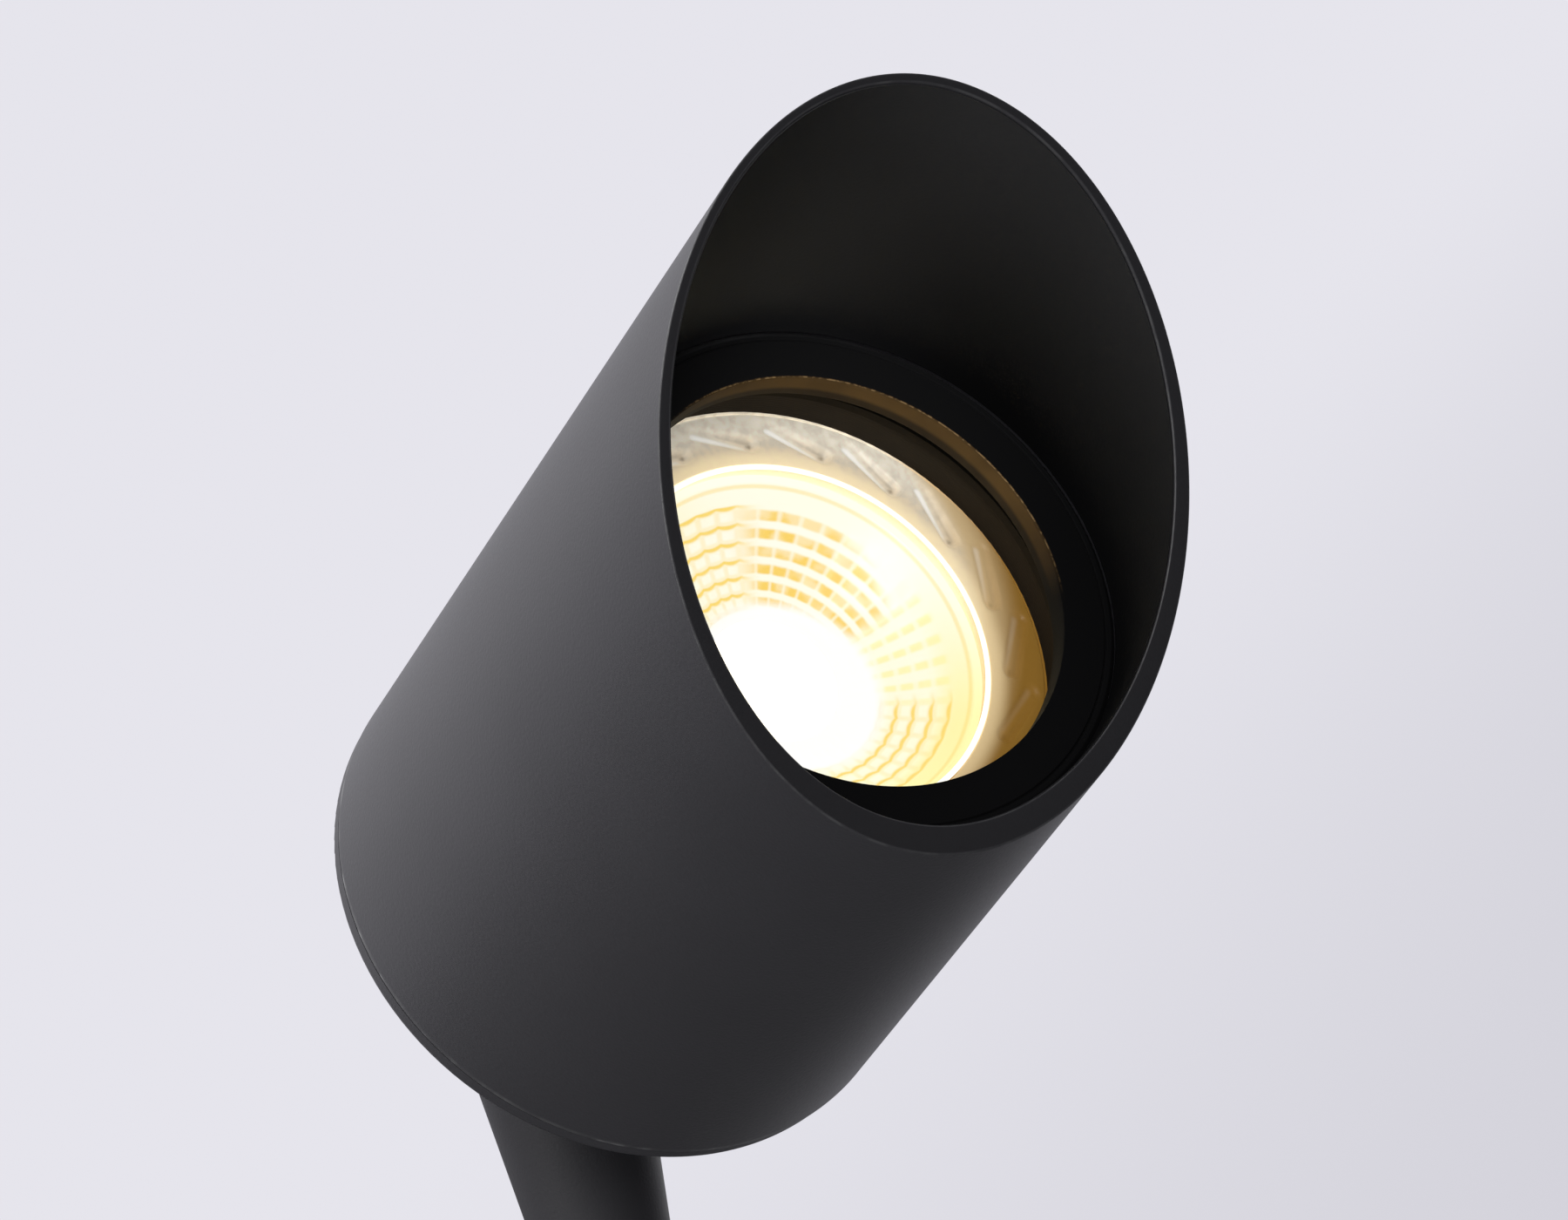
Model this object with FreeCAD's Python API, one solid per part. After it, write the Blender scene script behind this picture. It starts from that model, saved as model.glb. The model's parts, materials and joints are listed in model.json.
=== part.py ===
"""Adjustable outdoor wall spotlight: a round head with a slant-cut hood on a tilting and turning stem.

Millimetres, +Z up. The origin is the centre of the wall plate's back face, the wall lies in the
XZ plane, and the light stands out from it towards -Y.
"""
import FreeCAD, Part
import math
import os

V = FreeCAD.Vector

# Clearances
RUN_GAP = 0.05
FIT_GAP = 0.1
SLIP_GAP = 0.2
LAMP_GAP = 0.7
BARREL_GAP = 0.3

# Reflector lamp with a two-pin twist base
LAMP_RADIUS = 25.0
LAMP_LENGTH = 45.0
LAMP_RIM_DEPTH = 4.5
LAMP_RIM_CHAMFER = 1.2
LAMP_NECK_RADIUS = 14.5
LAMP_BASE_LENGTH = 10.6
LAMP_BASE_END_RADIUS = 12.0
LENS_RADIUS = 19.25
LENS_THICKNESS = 1.5
REFLECTOR_DEPTH = 11.5
REFLECTOR_THROAT_RADIUS = 7.0
REFLECTOR_WALL = 0.8
REFLECTOR_RIM = 1.0
REFLECTOR_STEPS = 8
LED_BOARD_RADIUS = 15.5
LED_BOARD = 1.6
LED_MARGIN = 0.6
LED_HEIGHT = 0.6
DRIVER_CAVITY_RADIUS = 11.0
DRIVER_BOARD_WIDTH = 17.0
DRIVER_BOARD_HEIGHT = 15.0
DRIVER_BOARD = 1.6
DRIVER_CAPACITOR_RADIUS = 3.5
DRIVER_CAPACITOR_LENGTH = 9.0
RIM_SLOT_COUNT = 16
RIM_SLOT_LENGTH = 7.6
RIM_SLOT_WIDTH = 1.6
RIM_SLOT_DEPTH = 0.7
RIM_SLOT_LEAN = 68.0
PIN_SPACING = 10.0
PIN_RADIUS = 1.6
PIN_HEAD_RADIUS = 2.5
PIN_LENGTH = 7.0
PIN_HEAD_LENGTH = 2.0

# Lamp holder and wiring inside the rear cap
HOLDER_THICKNESS = 10.5
HOLDER_HALF_WIDTH = 8.0
HOLDER_RIB = 0.7
HOLDER_END_WALL = 1.3
HOLDER_BRACKET = 1.2
HOLDER_BRACKET_MARGIN = 0.5
HOLDER_SCREW_RADIUS = 1.15
HOLDER_SCREW_HEAD_RADIUS = 2.2
HOLDER_SCREW_HEAD = 1.8
HOLDER_SCREW_BITE = 1.4
LEAD_RADIUS = 0.8
LEAD_SPREAD = 1.0
LEAD_BEND = 3.0
GLAND_MARGIN = 0.6
GLAND_RADIUS = 4.4
GLAND_SHANK_RADIUS = 3.2
GLAND_BORE_RADIUS = 2.3
GLAND_HEIGHT = 5.5
GLAND_ROUND = 0.8
GLAND_NUT = 2.0
GLAND_SEAL_LENGTH = 3.0
GLAND_SEAL_BORE_RADIUS = 1.7

# Head shell and rear cap, along the head's own axis
SLEEVE_WALL = 2.0
HOOD_SHORT_LIP = 0.6
HOOD_CUT_ANGLE = 34.2
HOOD_TIP_WALL = 0.9
HOOD_EDGE_ROUND = 0.25
CAP_FLANGE = 1.9
CAP_EDGE_ROUND = 0.8
CAP_SPIGOT = 6.1
CAP_BOSS_WALL = 2.5
CAP_BOSS_DEPTH = 9.0
CAP_BOSS_ROUND = 3.0
CAP_FLOOR = 2.5
CAP_SEAL_RADIUS = 0.8
CAP_SEAL_GROOVE = 2.2
CAP_SCREW_COUNT = 3
CAP_SCREW_MARGIN = 0.8
CAP_SCREW_RADIUS = 1.45
CAP_SCREW_HEAD_RADIUS = 2.7
CAP_SCREW_HEAD = 1.5
CAP_SCREW_BITE = 5.0
CAP_SCREW_KEY = 2.5

# Front stack, from the lamp's face forwards
LAMP_RECESS = 4.5
BARREL_WALL = 2.0
BARREL_FOOT = 6.0
BARREL_FOOT_WIDTH = 7.7
GLASS_SEAL = 1.0
GLASS_SEAL_WIDTH = 2.0
GLASS_THICKNESS = 2.8
RING_LIP = 2.8
RING_LIP_REACH = 5.2
RING_CHAMFER = 0.7
RING_SKIRT = 6.3
RING_SKIRT_WALL = 1.0

# Tilting knuckle and turning stem
REST_ELEVATION = 30.0
PIVOT_STANDOFF = 12.1
LUG_THICKNESS = 7.0
LUG_RADIUS = 7.5
PIVOT_RADIUS = 2.5
PIVOT_WASHER = 0.8
PIVOT_WASHER_RADIUS = 6.6
PIVOT_HEAD_RADIUS = 4.4
PIVOT_HEAD = 2.1
PIVOT_KEY = 4.0
PIVOT_NUT_FLATS = 8.0
PIVOT_NUT = 2.8
EAR_NUT_WALL = 1.8
EAR_HEAD_WALL = 2.6
YOKE_TOP_RADIUS = 9.6
YOKE_LENGTH = 38.0
YOKE_SLOT_ROOM = 2.4
YOKE_OUTLET_DROP = 17.0
YOKE_GROMMET_RADIUS = 3.2
YOKE_GROMMET_LENGTH = 4.0
SPIGOT_STEP = 0.5
SPIGOT_RISE = 14.5
SPIGOT_GROOVE_DEPTH = 0.8
SPIGOT_GROOVE = 3.4
SPIGOT_PLUG = 9.0
SWIVEL_WASHER = 0.8
SET_SCREW_RISE = 7.0
SET_SCREW_RADIUS = 2.0
SET_SCREW_POINT_RADIUS = 1.3
SET_SCREW_SINK = 0.3
SET_SCREW_KEY = 2.0
KEY_DEPTH = 1.2

# Arm
ARM_RADIUS = 6.0
ARM_WALL = 1.5
ARM_REACH = 80.0
ARM_RISE = 70.0
ARM_BEND_RADIUS = 22.0
ARM_THREAD_END = 4.5
COLLAR_WIDTH = 3.5
COLLAR_LENGTH = 4.0
COLLAR_ROUND = 1.0
LOCK_NUT_FLATS = 17.0
LOCK_NUT = 5.0
LOCK_WASHER = 1.0
LOCK_WASHER_RADIUS = 10.5

# Wall plate
CANOPY_RADIUS = 40.0
CANOPY_DEPTH = 26.0
CANOPY_WALL = 2.0
CANOPY_FACE = 2.5
CANOPY_ROUND = 4.0
WALL_GASKET = 1.5
WALL_GASKET_WIDTH = 2.0
BRACKET = 2.0
BRACKET_BAR_WIDTH = 18.0
BRACKET_POST_WIDTH = 16.0
BRACKET_TAB_WIDTH = 12.0
BRACKET_TAB_HEIGHT = 16.0
WALL_HOLE_SPACING = 60.0
WALL_HOLE_RADIUS = 2.5
CANOPY_SCREW_PLACE = 10.0
CANOPY_SCREW_RADIUS = 1.9
CANOPY_SCREW_HEAD_RADIUS = 3.4
CANOPY_SCREW_HEAD = 1.8
CANOPY_SCREW_ROUND = 0.8
CANOPY_SCREW_BITE = 1.0
CANOPY_SCREW_KEY = 3.0
ENTRY_PLACE = 17.0
ENTRY_BORE_RADIUS = 4.0
ENTRY_SLEEVE_WALL = 1.4
ENTRY_FLANGE_WIDTH = 1.6
ENTRY_FLANGE = 1.5
TERMINAL_WAYS = 3
TERMINAL_PITCH = 8.5
TERMINAL_WIDTH = 12.0
TERMINAL_HEIGHT = 12.0
TERMINAL_PLACE = -22.0
TERMINAL_SCREW_RADIUS = 1.9
TERMINAL_SCREW_SLOT = 0.9
TERMINAL_WELL = 5.0
TERMINAL_SCREW_LENGTH = 3.5
TERMINAL_WIRE_RADIUS = 1.7
TERMINAL_WIRE_PLACE = 4.0
EARTH_PLACE = -18.0
EARTH_SCREW_RADIUS = 2.0
EARTH_HEAD_FLATS = 6.2
EARTH_HEAD = 2.6

# Radii of the head, from the lamp outwards
BARREL_BORE = LAMP_RADIUS + LAMP_GAP
BARREL_RADIUS = BARREL_BORE + BARREL_WALL
SLEEVE_BORE = BARREL_RADIUS + BARREL_GAP
HEAD_RADIUS = SLEEVE_BORE + SLEEVE_WALL
RING_RADIUS = SLEEVE_BORE - SLIP_GAP
RING_BORE_RADIUS = RING_RADIUS - RING_LIP_REACH
GLASS_RADIUS = RING_RADIUS - RING_SKIRT_WALL - SLIP_GAP
LED_RADIUS = REFLECTOR_THROAT_RADIUS - LED_MARGIN

# Radii and places across the rear cap, from the holder outwards
HOLDER_SCREW_PLACE = (PIN_SPACING / 2 + PIN_HEAD_RADIUS + HOLDER_RIB + HOLDER_SCREW_HEAD_RADIUS
                      + 2 * SLIP_GAP)
HOLDER_HALF_LENGTH = HOLDER_SCREW_PLACE + HOLDER_SCREW_HEAD_RADIUS + SLIP_GAP + HOLDER_END_WALL
GLAND_PLACE = HOLDER_HALF_WIDTH + HOLDER_BRACKET_MARGIN + GLAND_MARGIN + GLAND_RADIUS
CAP_CAVITY_RADIUS = GLAND_PLACE + GLAND_RADIUS + GLAND_MARGIN
CAP_BOSS_RADIUS = CAP_CAVITY_RADIUS + CAP_BOSS_WALL
CAP_SCREW_CIRCLE_RADIUS = CAP_BOSS_RADIUS + CAP_SCREW_HEAD_RADIUS + CAP_SCREW_MARGIN
BARREL_FOOT_BORE_RADIUS = BARREL_RADIUS - BARREL_FOOT_WIDTH

# Places along the head's axis, from its rear rim forwards
CAP_BACK = -CAP_BOSS_DEPTH
CAP_INSIDE = CAP_BACK + CAP_FLOOR
HOLDER_BACK = CAP_INSIDE + HOLDER_BRACKET
HOLDER_FRONT = HOLDER_BACK + HOLDER_THICKNESS
LAMP_END = HOLDER_FRONT + SLIP_GAP
LAMP_BASE_TOP = LAMP_END + LAMP_BASE_LENGTH
LAMP_FRONT = LAMP_END + LAMP_LENGTH
REFLECTOR_FRONT = LAMP_FRONT - LENS_THICKNESS
REFLECTOR_BACK = REFLECTOR_FRONT - REFLECTOR_DEPTH
LED_BOARD_BACK = REFLECTOR_BACK - LED_BOARD
SPIGOT_END = CAP_FLANGE + CAP_SPIGOT
CAP_SCREW_LENGTH = SPIGOT_END + CAP_SCREW_BITE
BARREL_FRONT = LAMP_FRONT + LAMP_RECESS
GLASS_BACK = BARREL_FRONT + GLASS_SEAL
GLASS_FRONT = GLASS_BACK + GLASS_THICKNESS
RING_FRONT = GLASS_FRONT + RING_LIP
HOOD_SLOPE = math.tan(math.radians(HOOD_CUT_ANGLE))
HOOD_MIDDLE = RING_FRONT + HOOD_SHORT_LIP + HOOD_SLOPE * HEAD_RADIUS
HOOD_TIP = HOOD_MIDDLE + HOOD_SLOPE * HEAD_RADIUS
PIVOT_SETBACK = CAP_BOSS_DEPTH + PIVOT_STANDOFF

# Places on the stem, arm and wall plate
YOKE_SLOT = LUG_THICKNESS / 2 + PIVOT_WASHER + 2 * RUN_GAP
YOKE_SLOT_DEPTH = LUG_RADIUS + YOKE_SLOT_ROOM
EAR_NUT_SEAT = YOKE_SLOT + EAR_NUT_WALL
EAR_HEAD_SEAT = YOKE_SLOT + EAR_HEAD_WALL
YOKE_FOOT = ARM_RISE - YOKE_LENGTH
SET_SCREW_DROP = YOKE_LENGTH - SET_SCREW_RISE
ARM_TOP = YOKE_FOOT - SWIVEL_WASHER - RUN_GAP
ARM_BORE = ARM_RADIUS - ARM_WALL
SPIGOT_RADIUS = ARM_BORE - SPIGOT_STEP
SPIGOT_GROOVE_RADIUS = SPIGOT_RADIUS - SPIGOT_GROOVE_DEPTH
CANOPY_BORE = CANOPY_RADIUS - CANOPY_WALL
CANOPY_INSIDE = CANOPY_DEPTH - CANOPY_FACE
WASHER_BACK = CANOPY_INSIDE - LOCK_WASHER
ARM_TAIL = WASHER_BACK - LOCK_NUT - ARM_THREAD_END
ENTRY_SLEEVE_RADIUS = ENTRY_BORE_RADIUS + ENTRY_SLEEVE_WALL
ENTRY_FLANGE_RADIUS = ENTRY_SLEEVE_RADIUS + ENTRY_FLANGE_WIDTH


def rod(radius, low, high, x=0.0, y=0.0):
    """Solid cylinder along Z."""
    return Part.makeCylinder(radius, high - low, V(x, y, low))


def cross_rod(radius, low, high, y=0.0, z=0.0):
    """Solid cylinder along X."""
    return Part.makeCylinder(radius, high - low, V(low, y, z), V(1, 0, 0))


def tube(bore, radius, low, high, x=0.0, y=0.0):
    """Plain ring along Z."""
    return rod(radius, low, high, x, y).cut(rod(bore, low, high, x, y))


def block(x0, x1, y0, y1, z0, z1):
    """Box between two corners."""
    return Part.makeBox(x1 - x0, y1 - y0, z1 - z0, V(x0, y0, z0))


def turned(profile):
    """Solid turned about Z from a closed outline of (radius, height) points."""
    points = [V(radius, 0, height) for radius, height in profile]
    face = Part.Face(Part.makePolygon(points + points[:1]))
    return face.revolve(V(0, 0, 0), V(0, 0, 1), 360)


def hexagon(flats, low, high):
    """Hexagonal prism along Z, measured across its flats."""
    corner = flats / math.sqrt(3)
    angles = [math.radians(60 * step) for step in range(6)]
    points = [V(corner * math.cos(a), corner * math.sin(a), low) for a in angles]
    return Part.Face(Part.makePolygon(points + points[:1])).extrude(V(0, 0, high - low))


def oblong(half_length, half_width, low, high):
    """Round-ended bar along X, extruded along Z."""
    reach = half_length - half_width
    body = block(-reach, reach, -half_width, half_width, low, high)
    ends = [rod(half_width, low, high, x) for x in (-reach, reach)]
    return body.multiFuse(ends).removeSplitter()


def rounded(shape, radius, place):
    """Round the full circular edges that stand at one (radius, height) about Z."""
    chosen = []
    for edge in shape.Edges:
        curve = edge.Curve
        if isinstance(curve, Part.Circle) and abs(curve.Radius - place[0]) < 1e-6:
            if abs(curve.Center.z - place[1]) < 1e-6:
                chosen.append(edge)
    return shape.makeFillet(radius, chosen)


def along_x(shape):
    """Turn a piece made along Z so that it lies along X."""
    return shape.rotated(V(0, 0, 0), V(0, 1, 0), 90)


def in_head(shape):
    """Carry a piece from the head's rear rim frame to its place at the rest elevation."""
    moved = shape.translated(V(0, 0, PIVOT_SETBACK))
    turned_up = moved.rotated(V(0, 0, 0), V(1, 0, 0), 90 - REST_ELEVATION)
    return at_pivot(turned_up)


def at_pivot(shape):
    """Carry a piece from the pivot's frame to its place over the arm."""
    return shape.translated(V(0, -ARM_REACH, ARM_RISE))


def on_wall(shape):
    """Turn a piece made outwards along Z so that it stands out from the wall."""
    return shape.rotated(V(0, 0, 0), V(1, 0, 0), 90)


def head_sleeve():
    """Outer tube whose front is cut on the slant into a hood with a thinning wall."""
    shell = turned([
        (HEAD_RADIUS, CAP_FLANGE),
        (HEAD_RADIUS, HOOD_TIP),
        (HEAD_RADIUS - HOOD_TIP_WALL, HOOD_TIP),
        (SLEEVE_BORE, RING_FRONT),
        (SLEEVE_BORE, CAP_FLANGE),
    ])
    reach = HOOD_TIP + HEAD_RADIUS
    waste = block(-reach, reach, -reach, reach, 0, reach)
    waste = waste.rotated(V(0, 0, 0), V(1, 0, 0), HOOD_CUT_ANGLE)
    hood = shell.cut(waste.translated(V(0, 0, HOOD_MIDDLE)))
    lip = [edge for edge in hood.Edges if edge.BoundBox.ZLength > HEAD_RADIUS * HOOD_SLOPE
           and edge.BoundBox.XLength > HEAD_RADIUS]
    return hood.makeFillet(HOOD_EDGE_ROUND, lip)


def cap_screw_places():
    """Places of the rear cap's screws on their circle."""
    step = 2 * math.pi / CAP_SCREW_COUNT
    angles = [math.pi / 2 + step * index for index in range(CAP_SCREW_COUNT)]
    circle = CAP_SCREW_CIRCLE_RADIUS
    return [(circle * math.cos(a), circle * math.sin(a)) for a in angles]


def cap_screw(gap):
    """Countersunk screw on its own axis, grown all round by a gap."""
    head = Part.makeCone(CAP_SCREW_HEAD_RADIUS + gap, CAP_SCREW_RADIUS + gap, CAP_SCREW_HEAD)
    return head.fuse(rod(CAP_SCREW_RADIUS + gap, 0, CAP_SCREW_LENGTH)).removeSplitter()


def cap_screws():
    """Countersunk screws that pull the inner barrel back against the rear cap."""
    screw = cap_screw(0).cut(hexagon(CAP_SCREW_KEY, 0, KEY_DEPTH))
    return Part.makeCompound([screw.translated(V(x, y, 0)) for x, y in cap_screw_places()])


def holder_screw_places():
    """Places of the lamp holder's two screws along X."""
    return (-HOLDER_SCREW_PLACE, HOLDER_SCREW_PLACE)


def rear_cap():
    """Cast rear cap: flush flange, spigot, hollow boss and the lug that tilts on the pivot bolt."""
    body = turned([
        (0, CAP_BACK),
        (CAP_BOSS_RADIUS, CAP_BACK),
        (CAP_BOSS_RADIUS, 0),
        (HEAD_RADIUS, 0),
        (HEAD_RADIUS, CAP_FLANGE),
        (SLEEVE_BORE - FIT_GAP, CAP_FLANGE),
        (SLEEVE_BORE - FIT_GAP, SPIGOT_END),
        (CAP_CAVITY_RADIUS, SPIGOT_END),
        (CAP_CAVITY_RADIUS, CAP_INSIDE),
        (0, CAP_INSIDE),
    ])
    body = rounded(body, CAP_BOSS_ROUND, (CAP_BOSS_RADIUS, CAP_BACK))
    body = rounded(body, CAP_EDGE_ROUND, (HEAD_RADIUS, 0))
    half = LUG_THICKNESS / 2
    lug = block(-half, half, -LUG_RADIUS, LUG_RADIUS, -PIVOT_SETBACK, CAP_BACK + CAP_FLOOR / 2)
    lug = lug.fuse(cross_rod(LUG_RADIUS, -half, half, 0, -PIVOT_SETBACK))
    body = body.fuse(lug).removeSplitter()
    groove_low = (CAP_FLANGE + SPIGOT_END - CAP_SEAL_GROOVE) / 2
    groove_floor = SLEEVE_BORE - 2 * CAP_SEAL_RADIUS - SLIP_GAP
    holes = [
        cross_rod(PIVOT_RADIUS + RUN_GAP, -half, half, 0, -PIVOT_SETBACK),
        tube(groove_floor, HEAD_RADIUS, groove_low, groove_low + CAP_SEAL_GROOVE),
        rod(GLAND_SHANK_RADIUS + FIT_GAP, CAP_BACK, CAP_INSIDE, 0, GLAND_PLACE),
    ]
    for x, y in cap_screw_places():
        holes.append(cap_screw(FIT_GAP).translated(V(x, y, 0)))
    screw_floor = CAP_INSIDE - HOLDER_SCREW_BITE - FIT_GAP
    for x in holder_screw_places():
        holes.append(rod(HOLDER_SCREW_RADIUS + RUN_GAP, screw_floor, CAP_INSIDE, x))
    return body.cut(Part.makeCompound(holes))


def rear_cap_seal():
    """O-ring in the cap's spigot."""
    middle = (CAP_FLANGE + SPIGOT_END) / 2
    return Part.makeTorus(SLEEVE_BORE - CAP_SEAL_RADIUS - RUN_GAP, CAP_SEAL_RADIUS, V(0, 0, middle))


def lamp_barrel():
    """Inner barrel round the lamp, with a foot that takes the cap's screws."""
    barrel = turned([
        (BARREL_RADIUS, SPIGOT_END),
        (BARREL_RADIUS, BARREL_FRONT),
        (BARREL_BORE, BARREL_FRONT),
        (BARREL_BORE, SPIGOT_END + BARREL_FOOT),
        (BARREL_FOOT_BORE_RADIUS, SPIGOT_END + BARREL_FOOT),
        (BARREL_FOOT_BORE_RADIUS, SPIGOT_END),
    ])
    holes = [rod(CAP_SCREW_RADIUS + RUN_GAP, SPIGOT_END, SPIGOT_END + BARREL_FOOT, x, y)
             for x, y in cap_screw_places()]
    return barrel.cut(Part.makeCompound(holes))


def glass_seal():
    """Flat silicone seal between the barrel and the cover glass."""
    return tube(GLASS_RADIUS - GLASS_SEAL_WIDTH, GLASS_RADIUS, BARREL_FRONT, GLASS_BACK)


def cover_glass():
    """Round cover glass."""
    return rod(GLASS_RADIUS, GLASS_BACK, GLASS_FRONT)


def retaining_ring():
    """Ring screwed into the sleeve that holds the cover glass."""
    skirt_end = RING_FRONT - RING_SKIRT
    skirt_bore = RING_RADIUS - RING_SKIRT_WALL
    return turned([
        (RING_BORE_RADIUS, RING_FRONT),
        (RING_RADIUS - RING_CHAMFER, RING_FRONT),
        (RING_RADIUS, RING_FRONT - RING_CHAMFER),
        (RING_RADIUS, skirt_end),
        (skirt_bore, skirt_end),
        (skirt_bore, GLASS_FRONT),
        (RING_BORE_RADIUS, GLASS_FRONT),
    ])


def reflector_outline(offset):
    """Curved reflector wall as (radius, height) points from throat to rim, moved out by an offset."""
    rim = LENS_RADIUS - REFLECTOR_RIM
    points = []
    for step in range(REFLECTOR_STEPS + 1):
        part = step / REFLECTOR_STEPS
        radius = REFLECTOR_THROAT_RADIUS + (rim - REFLECTOR_THROAT_RADIUS) * math.sqrt(part)
        points.append((radius + offset, REFLECTOR_BACK + REFLECTOR_DEPTH * part))
    return points


def lamp_reflector():
    """Reflector cup in front of the light source."""
    inside = reflector_outline(0)
    outside = reflector_outline(REFLECTOR_WALL)
    return turned(inside + outside[::-1])


def lamp_body():
    """Lamp housing: front rim with slanted slots, tapering to the neck."""
    rim_back = LAMP_FRONT - LAMP_RIM_DEPTH
    mouth = LENS_RADIUS + FIT_GAP
    board_bore = LED_BOARD_RADIUS + FIT_GAP
    body = turned([
        (mouth, LAMP_FRONT),
        (LAMP_RADIUS, LAMP_FRONT),
        (LAMP_RADIUS, rim_back),
        (LAMP_RADIUS - LAMP_RIM_CHAMFER, rim_back - LAMP_RIM_CHAMFER),
        (LAMP_NECK_RADIUS, LAMP_BASE_TOP),
        (DRIVER_CAVITY_RADIUS, LAMP_BASE_TOP),
        (DRIVER_CAVITY_RADIUS, LED_BOARD_BACK),
        (board_bore, LED_BOARD_BACK),
        (board_bore, REFLECTOR_BACK),
        (mouth, REFLECTOR_BACK + REFLECTOR_DEPTH / 2),
    ])
    middle = (mouth + LAMP_RADIUS) / 2
    half = RIM_SLOT_LENGTH / 2
    low = LAMP_FRONT - RIM_SLOT_DEPTH
    slot = oblong(half, RIM_SLOT_WIDTH / 2, low, LAMP_FRONT)
    slot = slot.rotated(V(0, 0, 0), V(0, 0, 1), RIM_SLOT_LEAN).translated(V(middle, 0, 0))
    step = 360 / RIM_SLOT_COUNT
    slots = [slot.rotated(V(0, 0, 0), V(0, 0, 1), step * index) for index in range(RIM_SLOT_COUNT)]
    return body.cut(Part.makeCompound(slots))


def lamp_lens():
    """Clear front lens of the lamp."""
    return rod(LENS_RADIUS, REFLECTOR_FRONT, LAMP_FRONT)


def lamp_led():
    """Light source on its round board."""
    board = rod(LED_BOARD_RADIUS, LED_BOARD_BACK, REFLECTOR_BACK)
    return board.fuse(rod(LED_RADIUS, REFLECTOR_BACK, REFLECTOR_BACK + LED_HEIGHT))


def lamp_driver():
    """Small driver board and capacitor standing in the lamp's neck."""
    half = DRIVER_BOARD_WIDTH / 2
    top = LAMP_BASE_TOP + DRIVER_BOARD_HEIGHT
    board = block(-half, half, 0, DRIVER_BOARD, LAMP_BASE_TOP, top)
    capacitor = rod(DRIVER_CAPACITOR_RADIUS, LAMP_BASE_TOP, LAMP_BASE_TOP + DRIVER_CAPACITOR_LENGTH,
                    0, DRIVER_BOARD + DRIVER_CAPACITOR_RADIUS + FIT_GAP)
    return Part.makeCompound([board, capacitor])


def lamp_base():
    """Insulating base of the lamp, with sockets for its two pins."""
    base = Part.makeCone(LAMP_BASE_END_RADIUS, LAMP_NECK_RADIUS, LAMP_BASE_LENGTH, V(0, 0, LAMP_END))
    sockets = [rod(PIN_RADIUS, LAMP_END, LAMP_END + PIN_HEAD_LENGTH, x) for x in pin_places()]
    return base.cut(Part.makeCompound(sockets))


def pin_places():
    """Places of the lamp's two pins along X."""
    return (-PIN_SPACING / 2, PIN_SPACING / 2)


def lamp_pins():
    """Two headed contact pins."""
    low = LAMP_END - PIN_LENGTH
    pins = []
    for x in pin_places():
        stem = rod(PIN_RADIUS, low, LAMP_END + PIN_HEAD_LENGTH, x)
        pins.append(stem.fuse(rod(PIN_HEAD_RADIUS, low, low + PIN_HEAD_LENGTH, x)).removeSplitter())
    return Part.makeCompound(pins)


def lamp_holder():
    """Ceramic two-pin lamp holder."""
    body = oblong(HOLDER_HALF_LENGTH, HOLDER_HALF_WIDTH, HOLDER_BACK, HOLDER_FRONT)
    pin_floor = LAMP_END - PIN_LENGTH - SLIP_GAP
    holes = [rod(PIN_HEAD_RADIUS + SLIP_GAP, pin_floor, HOLDER_FRONT, x) for x in pin_places()]
    head_seat = HOLDER_FRONT - HOLDER_SCREW_HEAD - SLIP_GAP
    for x in holder_screw_places():
        holes.append(rod(HOLDER_SCREW_RADIUS + FIT_GAP, HOLDER_BACK, HOLDER_FRONT, x))
        holes.append(rod(HOLDER_SCREW_HEAD_RADIUS + SLIP_GAP, head_seat, HOLDER_FRONT, x))
    return body.cut(Part.makeCompound(holes))


def holder_bracket():
    """Steel plate under the lamp holder."""
    margin = HOLDER_BRACKET_MARGIN
    plate = oblong(HOLDER_HALF_LENGTH + margin, HOLDER_HALF_WIDTH + margin, CAP_INSIDE, HOLDER_BACK)
    holes = [rod(HOLDER_SCREW_RADIUS + RUN_GAP, CAP_INSIDE, HOLDER_BACK, x) for x in holder_screw_places()]
    return plate.cut(Part.makeCompound(holes))


def holder_screws():
    """Two pan-head screws through holder and plate into the cap."""
    seat = HOLDER_FRONT - HOLDER_SCREW_HEAD - SLIP_GAP
    screws = []
    for x in holder_screw_places():
        shank = rod(HOLDER_SCREW_RADIUS, CAP_INSIDE - HOLDER_SCREW_BITE, seat, x)
        head = rod(HOLDER_SCREW_HEAD_RADIUS, seat, seat + HOLDER_SCREW_HEAD, x)
        screws.append(shank.fuse(head).removeSplitter())
    return Part.makeCompound(screws)


def holder_leads():
    """Two insulated leads from the holder's side, bent down into the gland."""
    height = (HOLDER_BACK + HOLDER_FRONT) / 2
    leads = []
    for x in (-LEAD_SPREAD, LEAD_SPREAD):
        bend_start = GLAND_PLACE - LEAD_BEND
        flat_run = Part.makeCylinder(LEAD_RADIUS, bend_start - HOLDER_HALF_WIDTH,
                                     V(x, HOLDER_HALF_WIDTH, height), V(0, 1, 0))
        section = Part.Face(Part.Wire(Part.makeCircle(LEAD_RADIUS, V(x, bend_start, height), V(0, 1, 0))))
        bend = section.revolve(V(x, bend_start, height - LEAD_BEND), V(-1, 0, 0), 90)
        drop = rod(LEAD_RADIUS, CAP_BACK, height - LEAD_BEND, x, GLAND_PLACE)
        leads.append(flat_run.multiFuse([bend, drop]).removeSplitter())
    return Part.makeCompound(leads)


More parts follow.
